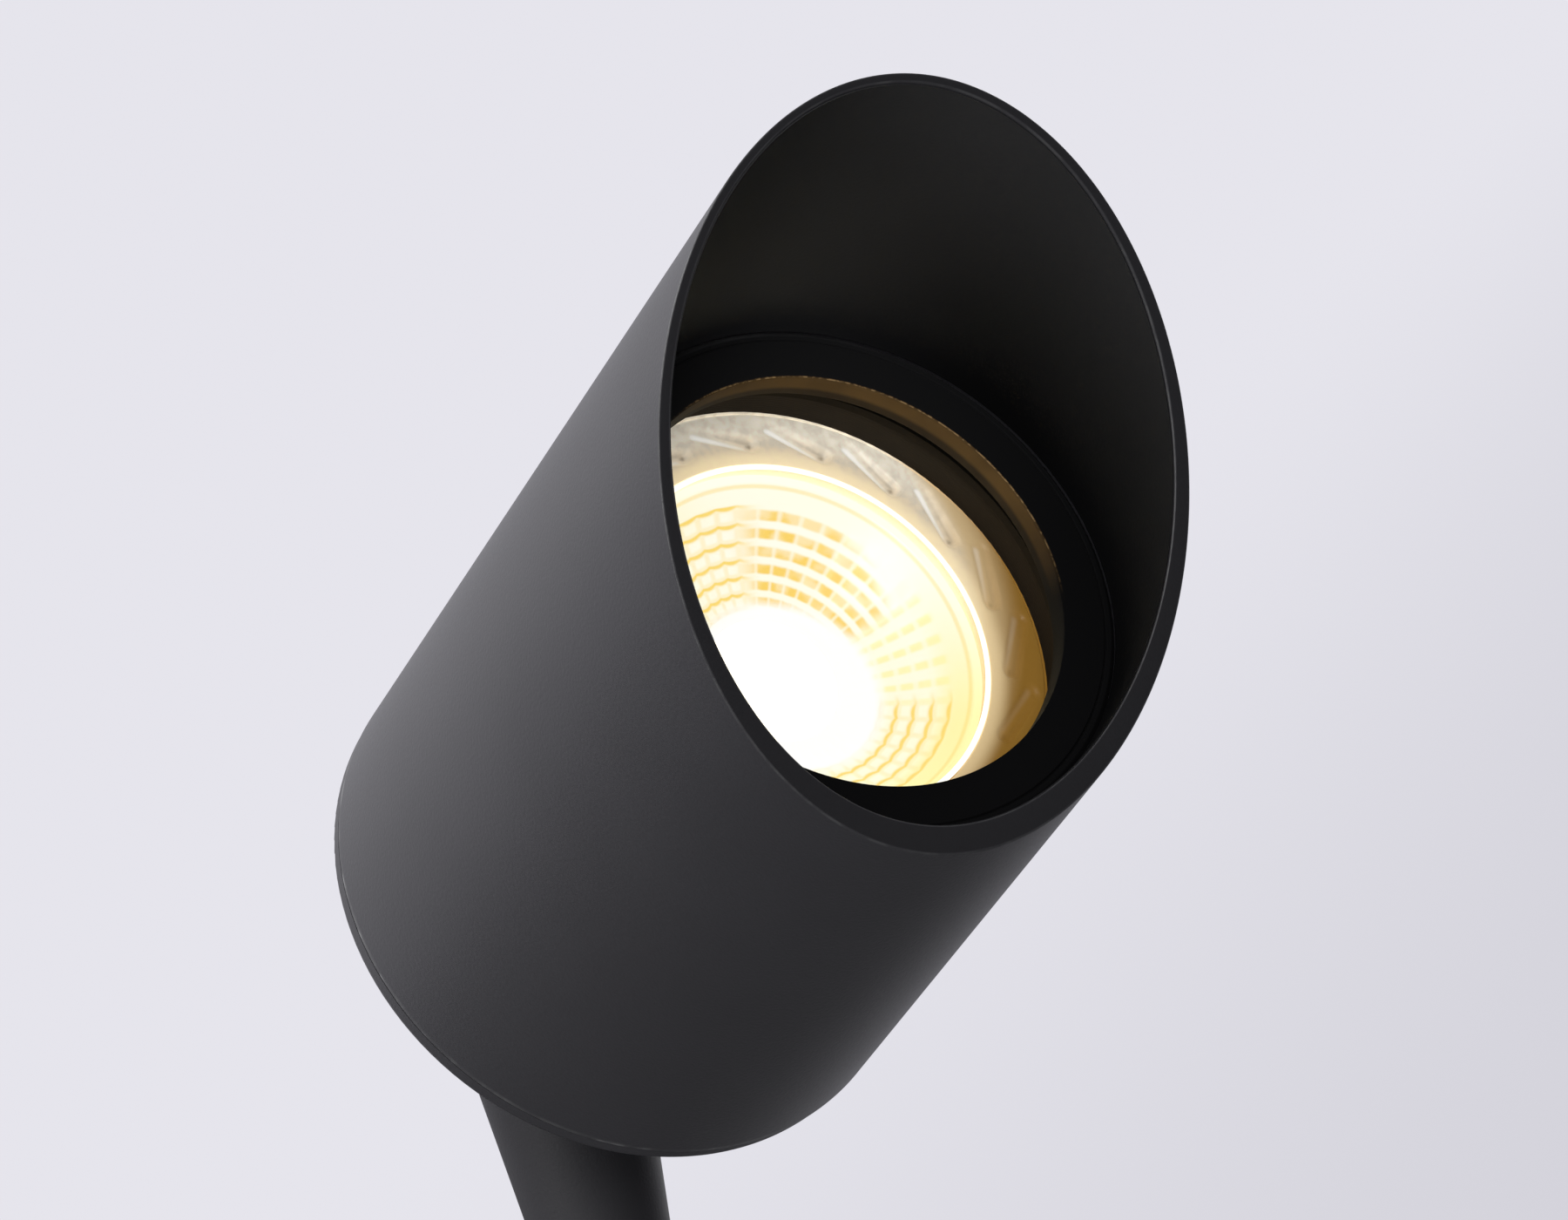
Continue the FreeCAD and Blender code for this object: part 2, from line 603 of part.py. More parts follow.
def head_gland():
    """Cable gland behind the head: round nose outside, threaded shank through the cap."""
    nose = rod(GLAND_RADIUS, CAP_BACK - GLAND_HEIGHT, CAP_BACK)
    nose = rounded(nose, GLAND_ROUND, (GLAND_RADIUS, CAP_BACK - GLAND_HEIGHT))
    shank = rod(GLAND_SHANK_RADIUS, CAP_BACK, CAP_INSIDE + GLAND_NUT)
    body = nose.fuse(shank).removeSplitter()
    bore = rod(GLAND_BORE_RADIUS, CAP_BACK - GLAND_HEIGHT, CAP_INSIDE + GLAND_NUT)
    return body.cut(bore).translated(V(0, GLAND_PLACE, 0))


def gland_nut():
    """Lock nut of the gland inside the cap."""
    nut = tube(GLAND_SHANK_RADIUS + RUN_GAP, GLAND_RADIUS, CAP_INSIDE, CAP_INSIDE + GLAND_NUT)
    return nut.translated(V(0, GLAND_PLACE, 0))


def gland_seal():
    """Rubber sleeve in the gland's mouth."""
    low = CAP_BACK - GLAND_HEIGHT
    seal = tube(GLAND_SEAL_BORE_RADIUS, GLAND_BORE_RADIUS - RUN_GAP, low, low + GLAND_SEAL_LENGTH)
    return seal.translated(V(0, GLAND_PLACE, 0))


def yoke_radius(drop):
    """Radius of the tapered stem at a drop below the pivot."""
    return YOKE_TOP_RADIUS + (ARM_RADIUS - YOKE_TOP_RADIUS) * drop / YOKE_LENGTH


def swivel_yoke():
    """Tapered stem with a round forked top for the head's lug, bored for the arm's spigot and the lead."""
    stem = Part.makeCone(ARM_RADIUS, YOKE_TOP_RADIUS, YOKE_LENGTH, V(0, 0, -YOKE_LENGTH))
    body = stem.fuse(Part.makeSphere(YOKE_TOP_RADIUS)).removeSplitter()
    reach = 2 * YOKE_TOP_RADIUS
    socket_top = SPIGOT_RISE + 2 * SLIP_GAP - YOKE_LENGTH
    outlet = YOKE_OUTLET_DROP
    outlet_face = yoke_radius(outlet) - YOKE_GROMMET_LENGTH + FIT_GAP
    set_screw_bore = cross_rod(SET_SCREW_RADIUS + RUN_GAP, 0, reach, 0, -SET_SCREW_DROP)
    wire_radius = GLAND_BORE_RADIUS
    cuts = [
        block(-YOKE_SLOT, YOKE_SLOT, -reach, reach, -YOKE_SLOT_DEPTH, reach),
        cross_rod(PIVOT_RADIUS + FIT_GAP, -reach, reach),
        cross_rod(PIVOT_NUT_FLATS / math.sqrt(3) + SLIP_GAP, -reach, -EAR_NUT_SEAT),
        cross_rod(PIVOT_HEAD_RADIUS + SLIP_GAP, EAR_HEAD_SEAT, reach),
        rod(SPIGOT_RADIUS + RUN_GAP, -YOKE_LENGTH, socket_top),
        rod(wire_radius, socket_top, -outlet),
        Part.makeSphere(wire_radius, V(0, 0, -outlet)),
        Part.makeCylinder(wire_radius, reach, V(0, 0, -outlet), V(0, 1, 0)),
        Part.makeCylinder(YOKE_GROMMET_RADIUS + RUN_GAP, reach, V(0, outlet_face, -outlet), V(0, 1, 0)),
        set_screw_bore,
    ]
    return body.cut(cuts)


def yoke_grommet():
    """Rubber sleeve where the lead leaves the back of the stem."""
    start = yoke_radius(YOKE_OUTLET_DROP) - YOKE_GROMMET_LENGTH + FIT_GAP
    sleeve = tube(GLAND_SEAL_BORE_RADIUS, YOKE_GROMMET_RADIUS, 0, YOKE_GROMMET_LENGTH)
    sleeve = sleeve.rotated(V(0, 0, 0), V(1, 0, 0), -90)
    return sleeve.translated(V(0, start, -YOKE_OUTLET_DROP))


def swivel_set_screw():
    """Grub screw whose point runs in the spigot's groove."""
    face = yoke_radius(SET_SCREW_DROP) - SET_SCREW_SINK
    shoulder = SPIGOT_RADIUS + SLIP_GAP
    point = SPIGOT_GROOVE_RADIUS + FIT_GAP
    screw = rod(SET_SCREW_RADIUS, shoulder, face).fuse(rod(SET_SCREW_POINT_RADIUS, point, face))
    screw = screw.removeSplitter().cut(hexagon(SET_SCREW_KEY, face - KEY_DEPTH, face))
    return along_x(screw).translated(V(0, 0, -SET_SCREW_DROP))


def pivot_bolt():
    """Socket-head bolt that the head tilts on."""
    end = EAR_HEAD_SEAT + PIVOT_HEAD
    bolt = rod(PIVOT_RADIUS, -EAR_NUT_SEAT - PIVOT_NUT, EAR_HEAD_SEAT)
    bolt = bolt.fuse(rod(PIVOT_HEAD_RADIUS, EAR_HEAD_SEAT, end)).removeSplitter()
    return along_x(bolt.cut(hexagon(PIVOT_KEY, end - KEY_DEPTH, end)))


def pivot_nut():
    """Hexagon nut on the pivot bolt."""
    nut = hexagon(PIVOT_NUT_FLATS, -EAR_NUT_SEAT - PIVOT_NUT, -EAR_NUT_SEAT)
    return along_x(nut.cut(rod(PIVOT_RADIUS + RUN_GAP, -EAR_NUT_SEAT - PIVOT_NUT, -EAR_NUT_SEAT)))


def pivot_washers():
    """Friction washers on both sides of the head's lug."""
    inner = LUG_THICKNESS / 2 + RUN_GAP
    washer = tube(PIVOT_RADIUS + SLIP_GAP, PIVOT_WASHER_RADIUS, inner, inner + PIVOT_WASHER)
    other = washer.mirror(V(0, 0, 0), V(0, 0, 1))
    return Part.makeCompound([along_x(washer), along_x(other)])


def swivel_spigot():
    """Turned plug in the top of the arm that the stem turns on, bored for the lead."""
    top = YOKE_FOOT + SPIGOT_RISE
    groove = ARM_RISE - SET_SCREW_DROP
    half = SPIGOT_GROOVE / 2
    wire = GLAND_BORE_RADIUS
    plug = turned([
        (wire, ARM_TOP - SPIGOT_PLUG),
        (ARM_BORE - RUN_GAP, ARM_TOP - SPIGOT_PLUG),
        (ARM_BORE - RUN_GAP, ARM_TOP),
        (SPIGOT_RADIUS, ARM_TOP),
        (SPIGOT_RADIUS, groove - half),
        (SPIGOT_GROOVE_RADIUS, groove - half),
        (SPIGOT_GROOVE_RADIUS, groove + half),
        (SPIGOT_RADIUS, groove + half),
        (SPIGOT_RADIUS, top),
        (wire, top),
    ])
    return plug.translated(V(0, -ARM_REACH, 0))


def swivel_washer():
    """Thin bearing washer between the arm and the stem."""
    washer = tube(SPIGOT_RADIUS + FIT_GAP, ARM_RADIUS, ARM_TOP, ARM_TOP + SWIVEL_WASHER)
    return washer.translated(V(0, -ARM_REACH, 0))


def arm_bar(radius):
    """Round bar along the arm's line: down, round the bend and back to the wall plate."""
    bend = ARM_BEND_RADIUS
    fall = rod(radius, bend, ARM_TOP, 0, -ARM_REACH)
    section = Part.Face(Part.Wire(Part.makeCircle(radius, V(0, -ARM_REACH, bend), V(0, 0, 1))))
    elbow = section.revolve(V(0, bend - ARM_REACH, bend), V(1, 0, 0), 90)
    run = Part.makeCylinder(radius, ARM_REACH - bend - ARM_TAIL, V(0, bend - ARM_REACH, 0), V(0, 1, 0))
    return fall.multiFuse([elbow, run]).removeSplitter()


def arm_tube():
    """Bent tube that carries the stem."""
    return arm_bar(ARM_RADIUS).cut(arm_bar(ARM_BORE))


def arm_collar():
    """Collar on the arm that seats on the canopy's face."""
    front = CANOPY_DEPTH + COLLAR_LENGTH
    radius = ARM_RADIUS + COLLAR_WIDTH
    collar = rounded(rod(radius, CANOPY_DEPTH, front), COLLAR_ROUND, (radius, front))
    return collar.cut(rod(ARM_RADIUS + RUN_GAP, CANOPY_DEPTH, front))


def arm_lock_washer():
    """Washer under the arm's lock nut."""
    return tube(ARM_RADIUS + FIT_GAP, LOCK_WASHER_RADIUS, WASHER_BACK, CANOPY_INSIDE)


def arm_lock_nut():
    """Nut that holds the arm to the canopy from inside."""
    nut = hexagon(LOCK_NUT_FLATS, WASHER_BACK - LOCK_NUT, WASHER_BACK)
    return nut.cut(rod(ARM_RADIUS + RUN_GAP, WASHER_BACK - LOCK_NUT, WASHER_BACK))


def canopy():
    """Round cover cup over the wall bracket."""
    cup = rod(CANOPY_RADIUS, WALL_GASKET, CANOPY_DEPTH)
    cup = rounded(cup, CANOPY_ROUND, (CANOPY_RADIUS, CANOPY_DEPTH))
    hollow = rod(CANOPY_BORE, WALL_GASKET, CANOPY_INSIDE)
    hollow = rounded(hollow, CANOPY_WALL, (CANOPY_BORE, CANOPY_INSIDE))
    cup = cup.cut(hollow).cut(rod(ARM_RADIUS + FIT_GAP, CANOPY_INSIDE, CANOPY_DEPTH))
    hole = Part.makeCylinder(CANOPY_SCREW_RADIUS + SLIP_GAP, 2 * CANOPY_RADIUS,
                             V(0, -CANOPY_RADIUS, CANOPY_SCREW_PLACE), V(0, 1, 0))
    return cup.cut(hole)


def bracket_tab_face():
    """Height of the bracket's tabs above its centre, just clear of the canopy's round wall."""
    half = BRACKET_TAB_WIDTH / 2
    return math.sqrt(CANOPY_BORE ** 2 - half ** 2) - FIT_GAP


def canopy_screws():
    """Two round-head screws, above and below, from the canopy into the bracket's tabs."""
    end = bracket_tab_face() - BRACKET - CANOPY_SCREW_BITE
    top = CANOPY_RADIUS + CANOPY_SCREW_HEAD
    head = rounded(rod(CANOPY_SCREW_HEAD_RADIUS, CANOPY_RADIUS, top), CANOPY_SCREW_ROUND,
                   (CANOPY_SCREW_HEAD_RADIUS, top))
    screw = head.fuse(rod(CANOPY_SCREW_RADIUS, end, CANOPY_RADIUS)).removeSplitter()
    screw = screw.cut(hexagon(CANOPY_SCREW_KEY, top - KEY_DEPTH, top))
    upper = screw.rotated(V(0, 0, 0), V(1, 0, 0), -90).translated(V(0, 0, CANOPY_SCREW_PLACE))
    return Part.makeCompound([upper, upper.mirror(V(0, 0, 0), V(0, 1, 0))])


def wall_bracket():
    """Steel cross plate screwed to the wall, with two tabs for the canopy's screws."""
    face = bracket_tab_face()
    bar = BRACKET_BAR_WIDTH / 2
    post = BRACKET_POST_WIDTH / 2
    tab = BRACKET_TAB_WIDTH / 2
    span = math.sqrt(CANOPY_BORE ** 2 - bar ** 2) - FIT_GAP
    pieces = [block(-post, post, -face + BRACKET, face - BRACKET, 0, BRACKET)]
    for low in (-face, face - BRACKET):
        pieces.append(block(-tab, tab, low, low + BRACKET, 0, BRACKET_TAB_HEIGHT))
    plate = block(-span, span, -bar, bar, 0, BRACKET).multiFuse(pieces).removeSplitter()
    wall_holes = (-WALL_HOLE_SPACING / 2, WALL_HOLE_SPACING / 2)
    holes = [rod(WALL_HOLE_RADIUS, 0, BRACKET, x) for x in wall_holes]
    holes.append(rod(ENTRY_SLEEVE_RADIUS + FIT_GAP, 0, BRACKET, 0, ENTRY_PLACE))
    holes.append(rod(EARTH_SCREW_RADIUS + RUN_GAP, 0, BRACKET, EARTH_PLACE))
    holes.append(Part.makeCylinder(CANOPY_SCREW_RADIUS + RUN_GAP, 2 * face,
                                   V(0, -face, CANOPY_SCREW_PLACE), V(0, 1, 0)))
    return plate.cut(Part.makeCompound(holes))


def wall_gasket():
    """Foam ring between the canopy's edge and the wall."""
    return tube(CANOPY_RADIUS - WALL_GASKET_WIDTH, CANOPY_RADIUS, 0, WALL_GASKET)


def wall_grommet():
    """Rubber sleeve where the supply comes through the bracket."""
    front = BRACKET + ENTRY_FLANGE
    sleeve = rod(ENTRY_SLEEVE_RADIUS, 0, BRACKET).fuse(rod(ENTRY_FLANGE_RADIUS, BRACKET, front))
    sleeve = sleeve.removeSplitter().cut(rod(ENTRY_BORE_RADIUS, 0, front))
    return sleeve.translated(V(0, ENTRY_PLACE, 0))


def terminal_places():
    """Places of the terminal block's ways along X."""
    first = -TERMINAL_PITCH * (TERMINAL_WAYS - 1) / 2
    return [first + TERMINAL_PITCH * index for index in range(TERMINAL_WAYS)]


def terminal_block():
    """Connector block on the bracket, with a screw well and a wire hole for each way."""
    half = TERMINAL_PITCH * TERMINAL_WAYS / 2
    top = BRACKET + TERMINAL_HEIGHT
    low = TERMINAL_PLACE - TERMINAL_WIDTH / 2
    body = block(-half, half, low, low + TERMINAL_WIDTH, BRACKET, top)
    holes = []
    for x in terminal_places():
        holes.append(rod(TERMINAL_SCREW_RADIUS + FIT_GAP, top - TERMINAL_WELL, top, x, TERMINAL_PLACE))
        holes.append(Part.makeCylinder(TERMINAL_WIRE_RADIUS, TERMINAL_WIDTH,
                                       V(x, low, BRACKET + TERMINAL_WIRE_PLACE), V(0, 1, 0)))
    return body.cut(Part.makeCompound(holes))


def terminal_screws():
    """Slotted clamping screws in the terminal block's wells."""
    low = BRACKET + TERMINAL_HEIGHT - TERMINAL_WELL
    top = low + TERMINAL_SCREW_LENGTH
    blade = TERMINAL_SCREW_SLOT / 2
    slot = block(-TERMINAL_SCREW_RADIUS, TERMINAL_SCREW_RADIUS, -blade, blade, top - KEY_DEPTH, top)
    screw = rod(TERMINAL_SCREW_RADIUS, low, top).cut(slot)
    return Part.makeCompound([screw.translated(V(x, TERMINAL_PLACE, 0)) for x in terminal_places()])


def earth_screw():
    """Earth screw on the bracket."""
    head = hexagon(EARTH_HEAD_FLATS, BRACKET, BRACKET + EARTH_HEAD)
    screw = head.fuse(rod(EARTH_SCREW_RADIUS, SLIP_GAP, BRACKET)).removeSplitter()
    return screw.translated(V(EARTH_PLACE, 0, 0))


HEAD_PIECES = (
    head_sleeve, rear_cap, rear_cap_seal, cap_screws, lamp_barrel, glass_seal, cover_glass, retaining_ring,
    lamp_body, lamp_reflector, lamp_lens, lamp_led, lamp_driver, lamp_base, lamp_pins,
    lamp_holder, holder_bracket, holder_screws, holder_leads, head_gland, gland_nut, gland_seal,
)
STEM_PIECES = (
    swivel_yoke, yoke_grommet, swivel_set_screw, pivot_bolt, pivot_nut, pivot_washers,
)
ARM_PIECES = (swivel_spigot, swivel_washer, arm_tube)
WALL_PIECES = (
    arm_collar, arm_lock_washer, arm_lock_nut, canopy, canopy_screws, wall_bracket, wall_gasket,
    wall_grommet, terminal_block, terminal_screws, earth_screw,
)


def main():
    """Build every piece in its place and write it to its own file."""
    os.makedirs("parts", exist_ok=True)
    built = [(make.__name__, in_head(make())) for make in HEAD_PIECES]
    built += [(make.__name__, at_pivot(make())) for make in STEM_PIECES]
    built += [(make.__name__, make()) for make in ARM_PIECES]
    built += [(make.__name__, on_wall(make())) for make in WALL_PIECES]
    for name, shape in built:
        shape.exportStep(os.path.join("parts", name + ".step"))
        print(f"{name}: {len(shape.Solids)} solid, valid {shape.isValid()}, {shape.Volume:.1f} mm3")


main()
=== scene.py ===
"""Dress the adjustable outdoor spotlight: finishes, fine hood and lamp surfaces, studio and camera."""

import json
import logging
import math
from dataclasses import dataclass
from enum import Enum
from typing import Any, Optional, Union

import bpy
import numpy as np
from mathutils import Matrix, Vector


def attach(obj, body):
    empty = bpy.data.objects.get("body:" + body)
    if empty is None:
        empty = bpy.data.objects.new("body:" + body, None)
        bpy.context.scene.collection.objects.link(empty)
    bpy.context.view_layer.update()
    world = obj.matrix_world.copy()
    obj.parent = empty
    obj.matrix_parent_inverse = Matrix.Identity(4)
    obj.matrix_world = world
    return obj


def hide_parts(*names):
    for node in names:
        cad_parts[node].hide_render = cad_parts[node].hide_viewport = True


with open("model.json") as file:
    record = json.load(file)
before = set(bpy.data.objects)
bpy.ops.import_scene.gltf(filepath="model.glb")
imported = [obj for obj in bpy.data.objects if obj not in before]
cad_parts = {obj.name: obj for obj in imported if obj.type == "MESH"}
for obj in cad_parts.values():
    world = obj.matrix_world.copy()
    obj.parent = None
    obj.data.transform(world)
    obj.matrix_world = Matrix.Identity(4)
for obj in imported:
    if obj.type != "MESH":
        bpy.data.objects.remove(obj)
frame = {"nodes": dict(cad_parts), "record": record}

LOG = logging.getLogger("spotlight")
MM = 0.001
SHARP_ANGLE = math.radians(38.0)
TONE = "tone"
RIM_MAP = "rim"
FACET_MAP = "facets"

Colour = tuple[float, float, float]
Span = tuple[float, float]
Window = tuple[float, float, float, float]

BLACK: Colour = (0.0, 0.0, 0.0)


class Body(Enum):
    """Bodies of the frame that a piece can ride on."""

    WALL = "wall_base"
    STEM = "swivel"
    HEAD = "head"


class Term:
    """A shader socket that works in Python expressions, each operator adding a Math node."""

    def __init__(self, recipe: "Recipe", socket: bpy.types.NodeSocket) -> None:
        """Keep the socket and the recipe that its nodes go into."""
        self.recipe = recipe
        self.socket = socket

    def _math(self, operation: str, first: "Number", second: "Number") -> "Term":
        """Add one Math node and return its result."""
        return self.recipe.add("ShaderNodeMath", {"operation": operation}, {0: first, 1: second})

    def __add__(self, other: "Number") -> "Term":
        """Sum of two values."""
        return self._math("ADD", self, other)

    __radd__ = __add__

    def __sub__(self, other: "Number") -> "Term":
        """Difference of two values."""
        return self._math("SUBTRACT", self, other)

    def __rsub__(self, other: "Number") -> "Term":
        """Difference from a number on the left."""
        return self._math("SUBTRACT", other, self)

    def __mul__(self, other: "Number") -> "Term":
        """Product of two values."""
        return self._math("MULTIPLY", self, other)

    __rmul__ = __mul__

    def __truediv__(self, other: "Number") -> "Term":
        """Quotient of two values."""
        return self._math("DIVIDE", self, other)

    def fraction(self) -> "Term":
        """Part of the value after its whole number."""
        return self._math("FRACT", self, 0.0)

    def bearing(self, other: "Number") -> "Term":
        """Angle in degrees of the direction that has this value upwards and the other sideways."""
        return self._math("ARCTAN2", self, other) * math.degrees(1.0)

    def lower(self, other: "Number") -> "Term":
        """Lower of two values."""
        return self._math("MINIMUM", self, other)

    def step(self, low: float, high: float) -> "Term":
        """Smooth step of the value from 0 at low to 1 at high."""
        return self.recipe.add(
            "ShaderNodeMapRange",
            {"interpolation_type": "SMOOTHSTEP"},
            {"Value": self, "From Min": low, "From Max": high},
        )

    def within(self, low: float, low_full: float, high_full: float, high: float) -> "Term":
        """1 between the two full values, with a smooth fall to 0 at low and at high."""
        return self.step(low, low_full) * (1.0 - self.step(high_full, high))


Number = Union[Term, float]


def toward(x: Term, y: Term, degrees: float) -> Term:
    """Distance x cos a + y sin a of a place in the direction of an angle a."""
    turn = math.radians(degrees)
    return x * math.cos(turn) + y * math.sin(turn)


def scaled(colour: Colour, share: float) -> Colour:
    """A colour with each of its parts times a share."""
    return tuple(share * part for part in colour)


class Recipe:
    """Node tree of one finish or of the world, built round its own shader."""

    def __init__(self, owner: Union[bpy.types.Material, bpy.types.World], shader: str) -> None:
        """Start from the nodes that Blender gives a new material or world.

        Args:
            owner: Material or world that the nodes belong to.
            shader: Name of its shader node.
        """
        owner.use_nodes = True
        self.tree = owner.node_tree
        self.shader = self.tree.nodes[shader]

    def add(
        self,
        kind: str,
        settings: Optional[dict[str, Any]] = None,
        inputs: Optional[dict[Union[str, int], Any]] = None,
        output: Union[str, int] = 0,
    ) -> Term:
        """Add any node.

        Args:
            kind: Blender's name of the node's type.
            settings: Properties of the node, set before its sockets.
            inputs: Values or terms for its sockets, by name or place.
            output: Name or place of the output that is wanted.

        Returns:
            The wanted output as a term.
        """
        node = self.tree.nodes.new(kind)
        for key, value in (settings or {}).items():
            setattr(node, key, value)
        for key, value in (inputs or {}).items():
            self.feed(node.inputs[key], value)
        return Term(self, node.outputs[output])

    def feed(self, socket: bpy.types.NodeSocket, value: Any) -> None:
        """Link a term to a socket, or set the socket's own value."""
        if isinstance(value, Term):
            self.tree.links.new(value.socket, socket)
        elif isinstance(value, tuple) and len(value) == 3 and socket.type == "RGBA":
            socket.default_value = (*value, 1.0)
        else:
            socket.default_value = value

    def set(self, **values: Any) -> None:
        """Feed sockets of the shader, named with underscores for spaces.

        Args:
            values: Numbers, colours or terms by socket, such as Base_Color.
        """
        for key, value in values.items():
            self.feed(self.shader.inputs[key.replace("_", " ")], value)

    def place(self) -> Term:
        """Object coordinates, which are the row frame's metres."""
        return self.add("ShaderNodeTexCoord", output="Object")

    def noise(self, place: Term, size: float, detail: float = 2.0, stretch: float = 1.0) -> Term:
        """Soft noise from 0 to 1.

        Args:
            place: Coordinates that it reads.
            size: Size of its features in metres.
            detail: Octaves of finer noise on top.
            stretch: How much longer its features are along Z than across.

        Returns:
            The noise value.
        """
        if stretch != 1.0:
            place = self.add(
                "ShaderNodeMapping", None, {"Vector": place, "Scale": (1.0, 1.0, 1.0 / stretch)}
            )
        inputs = {"Vector": place, "Scale": 1.0 / size, "Detail": detail}
        return self.add("ShaderNodeTexNoise", None, inputs)

    def mix(self, factor: Number, first: Any, second: Any) -> Term:
        """Blend two colours by a factor."""
        return self.add("ShaderNodeMix", {"data_type": "RGBA"}, {0: factor, 6: first, 7: second}, output=2)

    def bump(self, height: Term, relief: float) -> Term:
        """Normal that is bumped by a height of 0 to 1, over a relief in metres."""
        return self.add("ShaderNodeBump", None, {"Height": height, "Distance": relief})

    def dot(self, vector: Term, way: tuple[float, ...]) -> Term:
        """Share of a vector along a direction."""
        return self.add("ShaderNodeVectorMath", {"operation": "DOT_PRODUCT"}, {0: vector, 1: way}, "Value")

    def reach(self, place: Term, axes: "Axes", way: np.ndarray) -> Term:
        """Distance of a place from the origin of the axes, in one direction."""
        return self.dot(place, tuple(way)) - float(axes.origin @ way)

    def across(self, place: Term, axes: "Axes") -> tuple[Term, Term]:
        """Side and up values of a place about an axis."""
        return self.reach(place, axes, axes.side), self.reach(place, axes, axes.up)

    def axes(self, vector: Term) -> tuple[Term, Term, Term]:
        """The three parts of a vector."""
        node = self.tree.nodes.new("ShaderNodeSeparateXYZ")
        self.feed(node.inputs[0], vector)
        return tuple(Term(self, output) for output in node.outputs)

    def tone(self) -> Term:
        """Value that a surface keeps at its points for the finish to read."""
        return self.add("ShaderNodeAttribute", {"attribute_name": TONE}, output="Fac")

    def chart(self, name: str) -> tuple[Term, Term]:
        """The two parts of a UV map."""
        return self.axes(self.add("ShaderNodeUVMap", {"uv_map": name}))[:2]


@dataclass(frozen=True)
class Finish:
    """A finish, named after a material slot of the record or after the piece that has it."""

    name: str

    def build(self) -> bpy.types.Material:
        """Make the material."""
        material = bpy.data.materials.new(self.name)
        self.compose(Recipe(material, "Principled BSDF"))
        return material

    def compose(self, recipe: Recipe) -> None:
        """Fill the recipe; each kind of finish has its own way."""
        raise NotImplementedError


@dataclass(frozen=True)
class Skin(Finish):
    """Skin with a fine grain and faint clouds; at these measures it is a matt sprayed coat."""

    colour: Colour
    roughness: float
    grain: float = 0.35 * MM
    detail: float = 3.0
    relief: float = 0.028 * MM
    cloud: float = 18.0 * MM
    gloss: float = 0.5
    sheen: float = 0.0
    sway: float = 0.12
    shades: Span = (0.8, 1.25)

    def compose(self, recipe: Recipe) -> None:
        """Grain drives bump and gloss."""
        place = recipe.place()
        grain = recipe.noise(place, self.grain, self.detail)
        recipe.set(
            Base_Color=self.tint(recipe, place, grain),
            Roughness=self.roughness + self.sway * (grain - 0.5),
            Specular_IOR_Level=self.gloss,
            Normal=recipe.bump(grain, self.relief),
            Sheen_Weight=self.sheen,
        )

    def tint(self, recipe: Recipe, place: Term, grain: Term) -> Term:
        """Colour of the coat, which the grain and soft clouds shift a little.

        Args:
            recipe: Node tree that it goes into.
            place: Coordinates that the clouds read.
            grain: Grain of the coat.

        Returns:
            The colour.
        """
        cloud = recipe.noise(place, self.cloud)
        dark, pale = (scaled(self.colour, share) for share in self.shades)
        return recipe.mix(0.6 * cloud + 0.4 * grain, dark, pale)


@dataclass(frozen=True)
class RubbedLitCoat(Skin):
    """Sprayed coat with painted light: edges lighter from rubbing and a painted highlight, scratches with a
    painted highlight along the rear seam, and a painted shade on the cut lip.
    """

    # Lighter colour of the edges: rubbing and a painted highlight.
    bare: Colour = (0.055, 0.055, 0.057)
    # Darker colour of the cut lip, a painted shade.
    lip: Colour = (0.0145, 0.0141, 0.0160)
    # Colour of the scratches along the rear seam, which also carry a painted highlight.
    seam_scratch_and_highlight: Colour = (0.20, 0.20, 0.205)
    patch: float = 2.5 * MM
    seam_speck: float = 4.0 * MM

    def tint(self, recipe: Recipe, place: Term, grain: Term) -> Term:
        """The surface's tone says where: -1 is the lip, with painted shade; 1 an edge, with bare patches
        and a painted highlight; 2 the rear seam, with scratches and a painted highlight.
        """
        edge = recipe.tone()
        patches = recipe.noise(place, self.patch, detail=4.0).step(0.4, 0.65)
        # Edges lighter from rubbing and a painted highlight.
        rubbed_and_lit = edge.lower(1.0) * (0.25 + 0.75 * patches)
        # Scratches along the rear seam, with a painted highlight.
        scratched_and_lit = edge.step(1.2, 1.9) * recipe.noise(place, self.seam_speck, detail=6.0).step(0.52, 0.66)
        # Painted shade on the cut lip.
        coat = recipe.mix(edge.step(-0.1, -0.9), super().tint(recipe, place, grain), self.lip)
        return recipe.mix(scratched_and_lit, recipe.mix(rubbed_and_lit, coat, self.bare), self.seam_scratch_and_highlight)


@dataclass(frozen=True)
class LiningCoat(Skin):
    """Dull coat inside the hood, with painted shade: darker far inside, most of all on one side."""

    # Colour and direction of the painted shade.
    deep_shade: Colour = (0.0040, 0.0040, 0.0043)
    shade_angle: float = -10.0

    def tint(self, recipe: Recipe, place: Term, grain: Term) -> Term:
        """Painted shade: the coat darkens towards (cos a, sin a) from the head's axis, most of all at the
        ring's face.
        """
        head = Axes.of_head()
        face, hood = head.extent("retaining_ring").high, head.extent("head_sleeve")
        height = recipe.reach(place, head, head.along).step(face, 0.15 * face + 0.85 * hood.high)
        x, y = recipe.across(place, head)
        side = toward(x, y, self.shade_angle).step(-0.12 * hood.bore, 0.85 * hood.bore)
        return recipe.mix(side * (1.0 - 0.6 * height), super().tint(recipe, place, grain), self.deep_shade)


